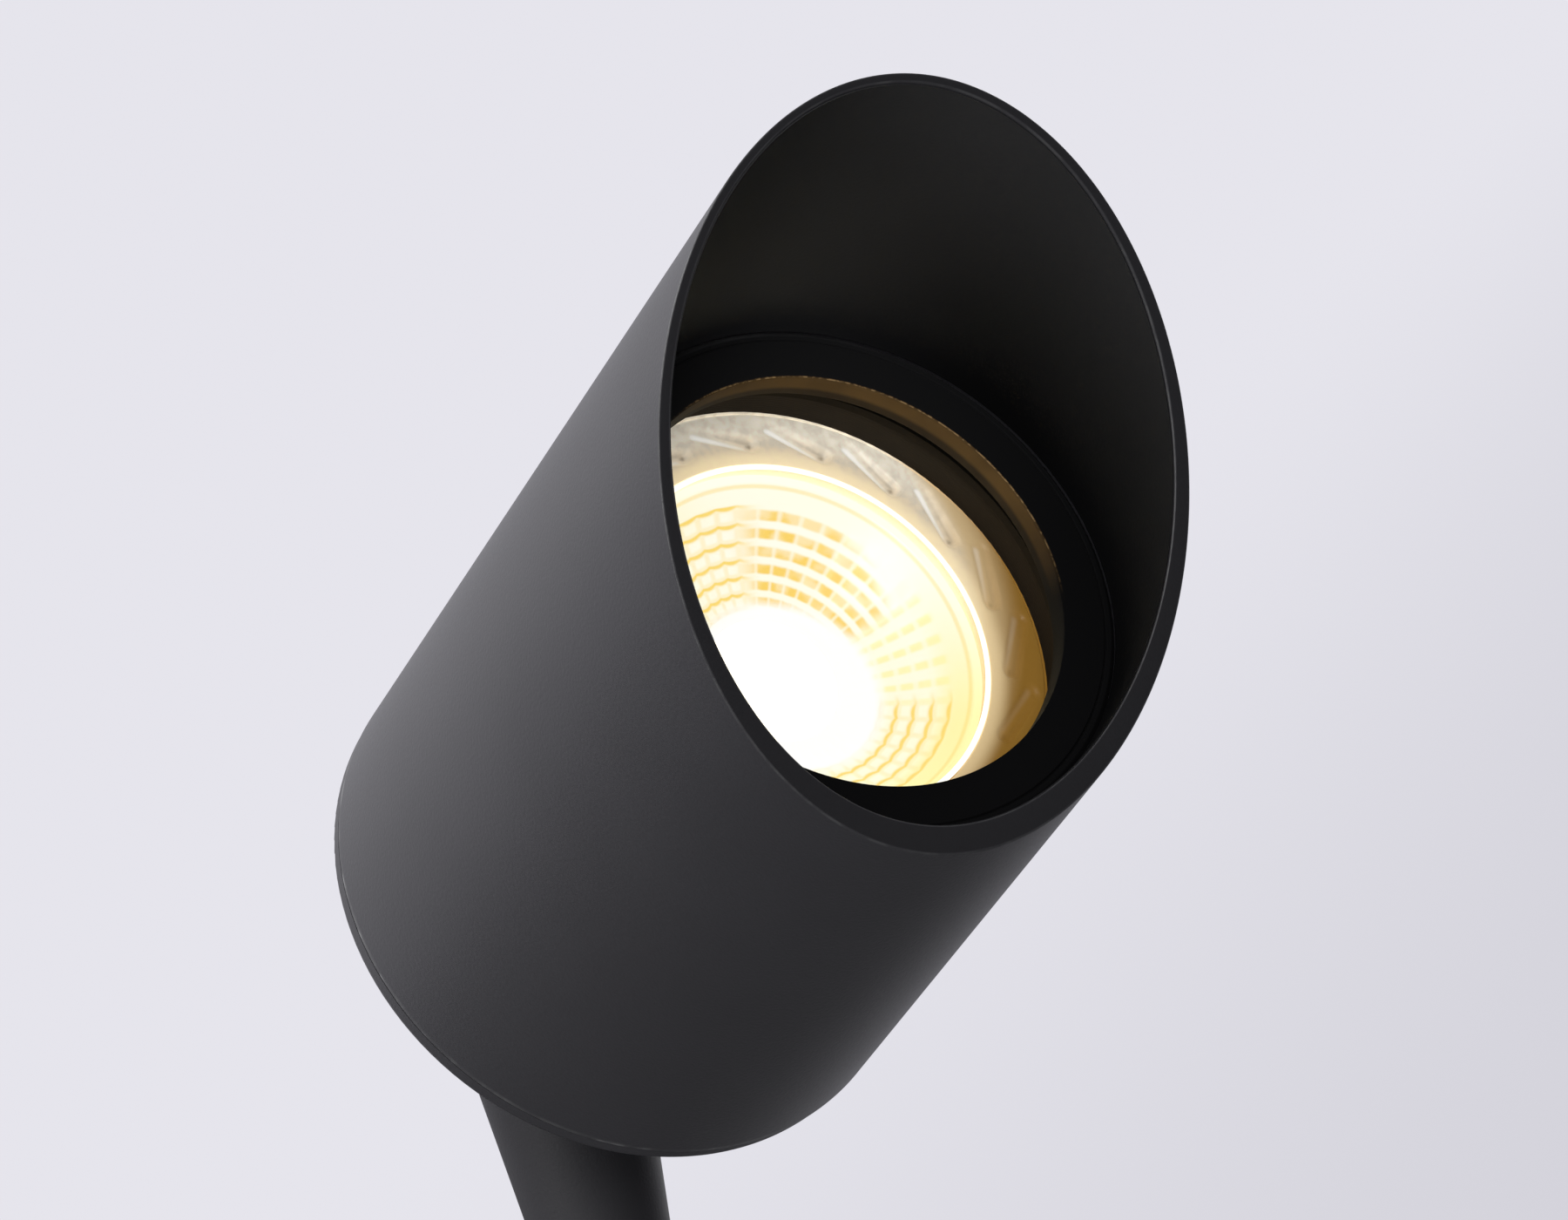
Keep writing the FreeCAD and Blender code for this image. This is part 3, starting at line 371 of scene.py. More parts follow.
@dataclass(frozen=True)
class Metal(Finish):
    """Plated, oxidised or bare metal with drawn streaks."""

    colour: Colour
    roughness: float
    metallic: float = 1.0
    streak: float = 0.12 * MM
    stretch: float = 14.0
    stain: float = 4.0 * MM
    relief: float = 0.004 * MM

    def compose(self, recipe: Recipe) -> None:
        """Streaks drive gloss and bump, a cloudy stain shifts colour and gloss."""
        place = recipe.place()
        streak = recipe.noise(place, self.streak, detail=4.0, stretch=self.stretch)
        stain = recipe.noise(place, self.stain, detail=5.0).step(0.3, 0.7)
        recipe.set(
            Base_Color=recipe.mix(0.5 * stain + 0.5 * streak, scaled(self.colour, 0.62), self.colour),
            Metallic=self.metallic,
            Roughness=self.roughness + 0.25 * (streak - 0.5) + 0.15 * (stain - 0.5),
            Normal=recipe.bump(streak, self.relief),
        )


@dataclass(frozen=True)
class Moulding(Skin):
    """Rubber, plastic or ceramic with a moulded skin."""

    grain: float = 0.5 * MM
    detail: float = 2.0
    relief: float = 0.02 * MM
    cloud: float = 6.0 * MM
    sway: float = 0.15

    def tint(self, recipe: Recipe, place: Term, grain: Term) -> Term:
        """A mottle shifts the colour."""
        mottle = recipe.noise(place, self.cloud, detail=3.0)
        return recipe.mix(mottle, scaled(self.colour, self.shades[0]), self.colour)


@dataclass(frozen=True)
class TurnedCoat(Finish):
    """Dark coat over fine turning lines round the head's axis."""

    colour: Colour
    roughness: float
    pitch: float = 0.3 * MM
    mottle: float = 3.0 * MM
    relief: float = 0.01 * MM
    gloss: float = 0.04

    def compose(self, recipe: Recipe) -> None:
        """Lines at an even pitch along the head's axis drive bump and gloss."""
        head = Axes.of_head()
        place = recipe.place()
        turn = (recipe.reach(place, head, head.along) / self.pitch).fraction()
        ridge = turn.lower(1.0 - turn).step(0.0, 0.5)
        mottle = recipe.noise(place, self.mottle, detail=3.0)
        recipe.set(
            Base_Color=recipe.mix(mottle, scaled(self.colour, 0.7), self.colour),
            Roughness=self.roughness + 0.1 * (mottle - 0.5),
            Specular_IOR_Level=self.gloss,
            Normal=recipe.bump(ridge, self.relief),
        )


@dataclass(frozen=True)
class RingCoat(Skin):
    """Satin black ring with painted light: a reflection of the lamp on one side of its bore, glints along
    the bore's edge, a lighter side and a sheen on its outer edge.
    """

    # Colours of painted light and shade: the shaded face, the lamp's reflection in the bore, its glints and
    # the outer edge's sheen.
    dull: Colour = (0.0055, 0.0055, 0.0058)
    lamp_reflection: Colour = (0.118, 0.071, 0.028)
    dim_reflection: Colour = (0.040, 0.029, 0.018)
    glint_gold: Colour = (0.42, 0.27, 0.12)
    edge_sheen: Colour = (0.05, 0.05, 0.052)
    grain: float = 0.2 * MM
    relief: float = 0.008 * MM
    cloud: float = 5.0 * MM
    gloss: float = 0.012
    reflection_angle: float = 45.0
    lit_angle: float = 100.0
    glint_size: float = 0.5 * MM
    bleed: Span = (0.1 * MM, 0.3 * MM)
    brink: Span = (0.03 * MM, 0.1 * MM)
    sheen_reach: Span = (-1.0 * MM, -0.6 * MM)

    def tint(self, recipe: Recipe, place: Term, grain: Term) -> Term:
        """A painted reflection of the lamp shows close to the bore, towards (cos a, sin a) from the axis;
        it turns darker and duller towards the glass.

        Painted glints follow the bore's front edge there. Away from the lit angle the face is
        darker, a painted shade, and its outer edge has less painted sheen.
        """
        head = Axes.of_head()
        ring, low = head.extent("retaining_ring"), head.extent("cover_glass").high
        x, y = recipe.across(place, head)
        square = x * x + y * y

        def beyond(radius: float, span: Span) -> Term:
            """Smooth step of the distance from the axis, over a span about a radius."""
            return square.step((radius + span[0]) ** 2, (radius + span[1]) ** 2)

        # Painted reflection of the lamp on one side of the bore.
        thin = toward(x, y, self.reflection_angle).step(0.35 * ring.bore, 0.85 * ring.bore)
        # Painted light: the face is lighter towards the lit angle.
        lit_side = toward(x, y, self.lit_angle).step(-0.5 * ring.radius, 0.9 * ring.radius)
        depth = ring.high - low
        front = recipe.reach(place, head, head.along).step(low + 0.25 * depth, low + 0.5 * depth)
        inside = thin * (1.0 - beyond(ring.bore, self.bleed))
        # Painted glints along the bore's front edge.
        spots = recipe.noise(place, self.glint_size, detail=3.0).step(0.4, 0.62)
        glints = inside * beyond(ring.bore, self.brink) * spots
        cloud = recipe.noise(place, self.cloud)
        # Painted sheen on the outer edge, on the lit side.
        edge_sheen = beyond(ring.radius, self.sheen_reach) * cloud * lit_side
        tint = recipe.mix(edge_sheen, recipe.mix(lit_side, self.dull, self.colour), self.edge_sheen)
        metal = recipe.mix(front, self.dim_reflection, self.lamp_reflection)
        tint = recipe.mix(inside * (0.6 + 0.6 * cloud), tint, metal)
        return recipe.mix(glints, tint, self.glint_gold)


@dataclass(frozen=True)
class ClearPane(Finish):
    """Clear glass or plastic with a faint film on it."""

    colour: Colour
    roughness: float
    film: float = 0.03
    smear: float = 9.0 * MM

    def compose(self, recipe: Recipe) -> None:
        """The film is a weak alpha with soft smears, and the gloss stays even."""
        smear = recipe.noise(recipe.place(), self.smear, detail=4.0)
        recipe.set(
            Base_Color=recipe.mix(smear, scaled(self.colour, 0.9), self.colour),
            Roughness=self.roughness + 0.04 * smear,
            Alpha=self.film * (0.6 + 0.8 * smear),
        )


@dataclass(frozen=True)
class LampRim(Finish):
    """Pale lamp housing with painted light: a faint glow all over, stronger and warmer beside the lens."""

    inner: Colour = (0.72, 0.60, 0.43)
    outer: Colour = (0.90, 0.82, 0.67)
    # Colours of painted light: the glow beside the lens, reflected light and shade on one side, and the
    # slots' highlight.
    glow_colour: Colour = (1.0, 0.80, 0.46)
    reflected_honey: Colour = (0.62, 0.46, 0.25)
    amber: Colour = (0.235, 0.120, 0.018)
    ridge: Colour = (1.0, 0.98, 0.92)
    roughness: float = 0.42
    glow: float = 0.62
    unlit: float = 0.2
    mottle: float = 0.9 * MM
    grain: float = 0.25 * MM
    relief: float = 0.05 * MM
    glow_span: Span = (0.07, 0.38)
    # Where the painted reflected light and shade fall.
    reflected_light_angle: float = -60.0
    reflected_light_slant: float = 14.0 * MM
    reflected_honey_span: Span = (8.5 * MM, 16.5 * MM)
    reflected_amber_span: Span = (13.0 * MM, 28.0 * MM)

    def compose(self, recipe: Recipe) -> None:
        """The rim map's second part runs from the lens to the outer edge; the glow dies away along it.

        Painted reflected light and shade, yellow-brown and then amber, show on the side that lies in the
        direction (cos a, sin a) from the head's axis, first at the outer edge; the slots' ridges carry a
        painted highlight and their hollows a painted shadow.
        """
        place = recipe.place()
        mottle = recipe.noise(place, self.mottle, detail=6.0)
        grain = recipe.noise(place, self.grain)
        _, across = recipe.chart(RIM_MAP)
        tone = recipe.tone()
        x, y = recipe.across(place, Axes.of_head())
        # Painted reflected light and shade on one side of the face.
        reach = toward(x, y, self.reflected_light_angle) + self.reflected_light_slant * across
        early, late = reach.step(*self.reflected_honey_span), reach.step(*self.reflected_amber_span)
        near = 1.0 - across.step(*self.glow_span)
        face = recipe.mix(across.step(0.25, 0.7), self.inner, self.outer)
        face = recipe.mix(0.6 * mottle.step(0.3, 0.7), face, scaled(self.outer, 0.62))
        face = recipe.mix(late, recipe.mix(early, face, self.reflected_honey), self.amber)
        # Painted shadow in the slots' hollows and painted highlight on their crests.
        slot_shadow = (1.0 - tone.step(0.0, 0.5)) * (0.6 - 0.3 * early)
        slot_highlight = tone.step(0.5, 1.0) * (1.0 - 0.75 * early) * (1.0 - 0.85 * late)
        face = recipe.mix(slot_shadow, face, scaled(self.amber, 0.4))
        face = recipe.mix(slot_highlight, face, self.ridge)
        # The housing's emission is a painted glow.
        dimmed = recipe.mix(self.unlit, face, BLACK)
        recipe.set(
            Base_Color=face,
            Roughness=self.roughness + 0.2 * (grain - 0.5),
            Normal=recipe.bump(mottle, self.relief),
            Emission_Color=recipe.mix(near * (1.0 - 0.4 * early), dimmed, self.glow_colour),
            Emission_Strength=self.glow,
        )


@dataclass(frozen=True)
class FacetMirror(Finish):
    """Mirror wall lit by painted reflections of the lamp: rows of small facets, amber on one side and pale
    on the others.
    """

    white: Colour = (1.0, 0.98, 0.85)
    band: Colour = (1.0, 0.89, 0.40)
    amber: Colour = (0.93, 0.62, 0.10)
    line: Colour = (0.95, 0.68, 0.15)
    base: Colour = (0.08, 0.07, 0.05)
    throat: Colour = (1.0, 1.0, 0.98)
    strength: float = 1.08
    patch: float = 2.2 * MM
    filled: Window = (0.0, 12.0, 66.0, 84.0)
    plain: Window = (-36.0, -22.0, 66.0, 84.0)
    barred: Window = (-42.0, -30.0, 8.0, 22.0)
    rows: Window = (-0.2, 0.1, 5.95, 6.1)
    brink: Window = (6.8, 6.95, 7.0, 7.15)
    wash: Span = (3.0, 4.3)
    wash_rise: float = 0.055
    band_angle: float = 48.0
    band_span: Span = (-2.0 * MM, 16.0 * MM)
    glare: Span = (0.5 * MM, -1.5 * MM)
    glare_span: Span = (8.8 * MM, 10.4 * MM)
    scallop: float = 0.10

    def compose(self, recipe: Recipe) -> None:
        """The facet map counts columns and rows; its fractions give each facet's inside and edges.

        Between two bearings the facets are amber with pale lines between them, and they wash out above a
        row that rises with the bearing. Elsewhere they are pale with an amber line along each row, which
        bows with every facet, or with faint bars between the columns. A round glare covers the throat,
        and the band outside the rows is palest towards its own angle.
        """
        place = recipe.place()
        column, row = recipe.chart(FACET_MAP)
        x, y = recipe.across(place, Axes.of_head())
        bearing = y.bearing(x)
        patch = recipe.noise(place, self.patch, detail=1.0)
        filled, barred = bearing.within(*self.filled), bearing.within(*self.barred)
        plain, rows = bearing.within(*self.plain), row.within(*self.rows)
        washed = (row - self.wash_rise * bearing).step(*self.wash)
        cell = self._inside(column, 0.06, 0.24) * self._inside(row, 0.16, 0.34)
        stripe = (0.4 + 0.6 * self._inside(column, 0.0, 0.2)) * self._inside(row, 0.12, 0.32)
        facets = filled * (1.0 - washed) * stripe * (0.62 + 0.38 * patch.step(0.35, 0.6))
        part = column.fraction()
        bowed = row + 4.0 * self.scallop * part * (1.0 - part)
        edges = (1.0 - self._inside(bowed, 0.0, 0.17)) * (1.0 - 0.75 * plain)
        bars = (1.0 - self._inside(column, 0.1, 0.3)) * (0.3 + 0.7 * self._inside(row, 0.05, 0.25))
        grid = 0.3 * (1.0 - cell) + edges * (0.55 + 0.6 * patch)
        lines = (1.0 - filled) * grid * (1.0 - barred)
        pale = toward(x, y, self.band_angle).step(*self.band_span)
        rest = recipe.mix((0.3 + 0.7 * row.step(4.5, 6.4)) * (1.0 - 0.9 * pale), self.white, self.band)
        lit = recipe.mix(lines * rows + 0.5 * row.within(*self.brink), rest, self.line)
        lit = recipe.mix((1.0 - filled) * barred * bars * rows * (0.7 + 0.3 * patch), lit, self.band)
        lit = recipe.mix(facets * rows, lit, self.amber)
        off_x, off_y = x - self.glare[0], y - self.glare[1]
        clear = (off_x * off_x + off_y * off_y).step(*(edge ** 2 for edge in self.glare_span))
        # The mirror shows only emission over a dark base: painted reflections of the lamp.
        recipe.set(
            Base_Color=self.base,
            Roughness=0.3 + 0.1 * patch,
            Emission_Color=recipe.mix(clear, self.throat, lit),
            Emission_Strength=self.strength,
        )

    @staticmethod
    def _inside(count: Term, edge: float, full: float) -> Term:
        """1 within a cell of the count, falling to 0 at its edges."""
        part = count.fraction()
        return part.lower(1.0 - part).step(edge, full)


@dataclass(frozen=True)
class Source(Finish):
    """Lit light source."""

    colour: Colour
    strength: float
    dot: float = 0.8 * MM
    base: Colour = (0.9, 0.85, 0.6)

    def compose(self, recipe: Recipe) -> None:
        """Phosphor dots shift the emission a little."""
        dots = recipe.noise(recipe.place(), self.dot)
        paler = tuple(0.5 + 0.5 * part for part in self.colour)
        recipe.set(
            Base_Color=self.base,
            Roughness=0.6 + 0.1 * dots,
            Emission_Color=recipe.mix(dots, self.colour, paler),
            Emission_Strength=self.strength,
        )


@dataclass(frozen=True)
class Axes:
    """An origin with three square directions in the row frame."""

    origin: np.ndarray
    side: np.ndarray
    up: np.ndarray
    along: np.ndarray

    @classmethod
    def of_head(cls) -> "Axes":
        """The head's axes: along its tube to the hood, up towards the long lip."""
        rear = node_points("rear_cap_seal").mean(axis=0)
        front = node_points("cover_glass").mean(axis=0)
        along = (front - rear) / np.linalg.norm(front - rear)
        side = np.array([1.0, 0.0, 0.0])
        return cls(rear, side, np.cross(along, side), along)

    def local(self, points: np.ndarray) -> np.ndarray:
        """Row frame points as side, up and along values."""
        return (points - self.origin) @ np.stack([self.side, self.up, self.along], axis=1)

    def place(self, x: np.ndarray, y: np.ndarray, z: np.ndarray) -> np.ndarray:
        """Side, up and along values as row frame points."""
        x, y, z = np.broadcast_arrays(x, y, z)
        return self.origin + np.stack([x, y, z], axis=-1) @ np.stack([self.side, self.up, self.along])

    def turned(self, radius: np.ndarray, height: np.ndarray, angle: np.ndarray) -> np.ndarray:
        """Points (r cos a, r sin a, h) about the axis."""
        return self.place(radius * np.cos(angle), radius * np.sin(angle), height)

    def extent(self, node: str) -> "Extent":
        """How far a CAD node reaches along and about the axis."""
        x, y, z = self.local(node_points(node)).T
        radius = np.hypot(x, y)
        return Extent(float(z.min()), float(z.max()), float(radius.max()), float(radius.min()))


@dataclass(frozen=True)
class Extent:
    """Reach of a round node on its axis, in metres."""

    low: float
    high: float
    radius: float
    bore: float


def node_points(node: str) -> np.ndarray:
    """Vertices of a CAD node in the row frame.

    Args:
        node: Name of the node.

    Returns:
        Array of points, one row each.
    """
    vertices = frame["nodes"][node].data.vertices
    flat = np.empty(3 * len(vertices), dtype=np.float32)
    vertices.foreach_get("co", flat)
    return flat.reshape(-1, 3).astype(float)


def put(name: str, data: bpy.types.ID) -> bpy.types.Object:
    """New object in the scene, with its data."""
    obj = bpy.data.objects.new(name, data)
    bpy.context.scene.collection.objects.link(obj)
    return obj


def angles(count: int) -> np.ndarray:
    """Even angles once round."""
    return np.linspace(0.0, 2 * math.pi, count, endpoint=False)


def cells(grid: np.ndarray) -> np.ndarray:
    """Corners of every cell of a grid, in order round it."""
    return np.stack([grid[:-1, :-1], grid[:-1, 1:], grid[1:, 1:], grid[1:, :-1]], axis=2)


def towards(start: np.ndarray, end: np.ndarray, distance: Any) -> np.ndarray:
    """Points at a distance from start on the way to end."""
    way = end - start
    return start + distance * way / np.linalg.norm(way, axis=-1, keepdims=True)


def eased(before: np.ndarray, corner: np.ndarray, after: np.ndarray, ease: Any, steps: int) -> np.ndarray:
    """Ease corners between their neighbours.

    Each corner C with ease e becomes the curve (1-t)^2 A + 2t(1-t) C + t^2 B, where A and B lie at the
    distance e from C towards its neighbours.

    Args:
        before: Point before each corner.
        corner: The corners.
        after: Point after each corner.
        ease: One ease, or one for each corner.
        steps: Points on each curve.

    Returns:
        Array of points, step by corner.
    """
    first, last = towards(corner, before, ease), towards(corner, after, ease)
    t = np.linspace(0.0, 1.0, steps)[:, None, None]
    return (1 - t) ** 2 * first + 2 * t * (1 - t) * corner + t ** 2 * last


def eased_outline(corners: list[tuple[float, float, float]], steps: int = 5) -> np.ndarray:
    """Closed outline with eased corners.

    Args:
        corners: Radius, height and ease of each corner, in order.
        steps: Points on each eased corner.

    Returns:
        Array of (radius, height) points.
    """
    corner, ease = np.split(np.array(corners), [2], axis=1)
    curve = eased(np.roll(corner, 1, axis=0), corner, np.roll(corner, -1, axis=0), ease, steps)
    return curve.swapaxes(0, 1).reshape(-1, 2)


def lathe(axes: Axes, outline: np.ndarray, columns: int = 192) -> np.ndarray:
    """Carry an outline round an axis: (r cos a, r sin a, h) for each angle a.

    Args:
        axes: Axis that it turns about.
        outline: (radius, height) points.
        columns: Steps round the axis.

    Returns:
        Grid of points, outline by angle.
    """
    return axes.turned(outline[:, :1], outline[:, 1:], angles(columns))


@dataclass(frozen=True)
class Chart:
    """UV map of a turned surface.

    Attributes:
        name: Name of the map.
        count: What the first part counts up to round the axis.
        rows: The second part at each point of the outline.
    """

    name: str
    count: float
    rows: np.ndarray


@dataclass
class Surface:
    """A closed outline carried round an axis, as a grid of points that becomes one piece.

    Attributes:
        name: Name of the piece.
        points: Grid of row frame points, outline by angle.
        chart: UV map, where a finish needs one.
        tone: Value at each point for the finish to read, where it needs one.
    """

    name: str
    points: np.ndarray
    chart: Optional[Chart] = None
    tone: Optional[np.ndarray] = None

    def piece(self, finish: str, body: Body, replaces: tuple[str, ...] = (), slot: str = "") -> None:
        """Make the object, give it its finish and let it ride.

        Args:
            finish: Name of its finish.
            body: Body that it rides on.
            replaces: CAD nodes that it stands for.
            slot: Material slot of the record, where it isn't the finish's name; not used.
        """
        obj = put(self.name, self._mesh())
        obj.data.materials.append(bpy.data.materials[finish])
        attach(obj, body.value)
        if replaces:
            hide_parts(*replaces)
        LOG.info("%s: %d faces, %s", self.name, len(obj.data.polygons), finish)

    def _mesh(self) -> bpy.types.Mesh:
        """Quads between neighbouring points, wound so that the enclosed volume is positive."""
        rows, columns = self.points.shape[:2]
        index = np.arange(rows * columns).reshape(rows, columns)
        index = np.pad(index, ((0, 1), (0, 1)), mode="wrap")
        quads = cells(index).reshape(-1, 4)
        flat = self.points.reshape(-1, 3)
        centred = flat - flat.mean(axis=0)
        corner = centred[quads]
        volume = np.einsum("ij,ij->", corner[:, 0], np.cross(corner[:, 1], corner[:, 2]))
        order = [0, 1, 2, 3] if volume > 0 else [3, 2, 1, 0]
        mesh = bpy.data.meshes.new(self.name)
        mesh.from_pydata(flat.tolist(), [], quads[:, order].tolist())
        if self.chart:
            self._map(mesh, order)
        if self.tone is not None:
            mesh.attributes.new(TONE, "FLOAT", "POINT").data.foreach_set("value", self.tone.ravel())
        mesh.shade_smooth()
        mesh.set_sharp_from_angle(angle=SHARP_ANGLE)
        return mesh

    def _map(self, mesh: bpy.types.Mesh, order: list[int]) -> None:
        """Write the UV map: the first part counts round the axis, the second follows the outline."""
        columns = self.points.shape[1]
        first = np.arange(columns + 1) * self.chart.count / columns
        second = np.append(self.chart.rows, self.chart.rows[:1])
        loops = cells(np.stack(np.meshgrid(first, second), axis=-1)).reshape(-1, 4, 2)[:, order]
        mesh.uv_layers.new(name=self.chart.name).data.foreach_set("uv", loops.ravel())


@dataclass
class Hood:
    """Outer tube of the head, whose front is cut on the slant."""

    axes: Axes
    cut_angle: float = 34.2
    tip_wall: float = 0.7 * MM
    lip_ease: float = 0.22 * MM
    seam_ease: float = 0.3 * MM
    # How far the seam's band of scratches with a painted highlight reaches onto the tube.
    seam_highlight_reach: float = 0.75 * MM
    lining: float = 0.12 * MM
    lining_gap: float = 0.02 * MM
    lining_start: float = 0.286 * MM
    ease_steps: int = 6
    columns: int = 256

    def build(self) -> tuple[Surface, Surface]:
        """Outline of the wall at each angle, sheared so that its front end follows the cut plane.

        The cut is at height m + s r sin a for slope s, radius r and angle a; the bore widens evenly from
        the ring's face to the tip, so the inner edge solves r = b + k (h - f) with that height.

        Returns:
            The closed shell, and the thin dull lining of its hood.
        """
        tube = self.axes.extent("head_sleeve")
        face = self.axes.extent("retaining_ring").high
        slope = math.tan(math.radians(self.cut_angle))
        middle = tube.high - slope * tube.radius
        draft = (tube.radius - self.tip_wall - tube.bore) / (tube.high - face)
        angle = angles(self.columns)
        rise = slope * np.sin(angle)

        def line(radius: Any, height: Any) -> np.ndarray:
            """Radius and height at every angle."""
            return np.stack(np.broadcast_arrays(radius, height, rise)[:2], axis=-1)

        inner_high = (middle + rise * (tube.bore - draft * face)) / (1 - rise * draft)
        inner_edge = line(tube.bore + draft * (inner_high - face), inner_high)
        outer_edge = line(tube.radius, middle + rise * tube.radius)
        rear_inner, rear_outer = line(tube.bore, tube.low), line(tube.radius, tube.low)
        seat = line(tube.bore, face)
        rows = [
            rear_inner[None],
            eased(rear_inner, rear_outer, outer_edge, self.seam_ease, self.ease_steps),
            towards(rear_outer, outer_edge, self.seam_highlight_reach)[None],
            eased(rear_outer, outer_edge, inner_edge, self.lip_ease, self.ease_steps),
            eased(outer_edge, inner_edge, seat, self.lip_ease, self.ease_steps),
            seat[None],
        ]
        # Tone for the finish: a bell across each lip edge where it is lighter from rubbing and a painted
        # highlight, -1 on the cut lip for its painted shade, and a ramp up to 2 at the rear seam for
        # scratches with a painted highlight.
        bell = np.sin(np.linspace(0.0, math.pi, self.ease_steps))
        seam = np.linspace(0.0, 2.0, self.ease_steps)
        edges = np.concatenate([[0.0], seam, [0.0], bell[:-1], [-1.0, -1.0], bell[1:], [0.0]])
        edges = edges[:, None] + 0.0 * angle
        start = towards(inner_edge, seat, self.lining_start)
        gap, wall = np.array([self.lining_gap, 0.0]), np.array([self.lining, 0.0])
        lining = np.stack([start - gap, seat - gap, seat - wall, start - wall])
        return (
            Surface("hood_shell", self._round(np.concatenate(rows), angle), tone=edges),
            Surface("hood_lining", self._round(lining, angle)),
        )

    def _round(self, outline: np.ndarray, angle: np.ndarray) -> np.ndarray:
        """Points of an outline that differs at each angle."""
        return self.axes.turned(outline[..., 0], outline[..., 1], angle)

    def dress(self) -> None:
        """Put the shell in place of the tube's solid, and line its hood."""
        shell, lining = self.build()
        shell.piece("hood_coat", Body.HEAD, ("head_sleeve",), slot="black_coat")
        lining.piece("hood_lining", Body.HEAD, slot="black_coat")


@dataclass
class FrontRing:
    """Ring inside the hood that holds the cover glass."""

    axes: Axes
    chamfer: float = 0.7 * MM
    edge: float = 0.12 * MM
    edge_fine: float = 0.06 * MM
    edge_soft: float = 0.1 * MM
    groove: float = 0.25 * MM
    groove_margin: float = 0.5 * MM
    groove_ease: float = 0.05 * MM
    skirt_gap: float = 0.2 * MM

    def build(self) -> Surface:
        """Turned ring with a chamfered outer edge and a fine groove beside it.

        Returns:
            The closed ring.
        """
        ring = self.axes.extent("retaining_ring")
        glass = self.axes.extent("cover_glass")
        skirt = glass.radius + self.skirt_gap
        lip = ring.radius - self.chamfer
        groove_out = lip - self.groove_margin
        groove_in = groove_out - self.groove
        outline = eased_outline([
            (ring.bore, ring.high, self.edge),
            (groove_in, ring.high, self.edge_fine),
            ((groove_in + groove_out) / 2, ring.high - self.groove, self.groove_ease),
            (groove_out, ring.high, self.edge_fine),
            (lip, ring.high, self.edge_soft),
            (ring.radius, ring.high - self.chamfer, self.edge_soft),
            (ring.radius, ring.low, self.edge),
            (skirt, ring.low, self.edge),
            (skirt, glass.high, self.edge),
            (ring.bore, glass.high, self.edge),
        ])
        return Surface("front_ring", lathe(self.axes, outline))

    def dress(self) -> None:
        """Put the ring in place of its solid."""
        self.build().piece("black_satin", Body.HEAD, ("retaining_ring",))


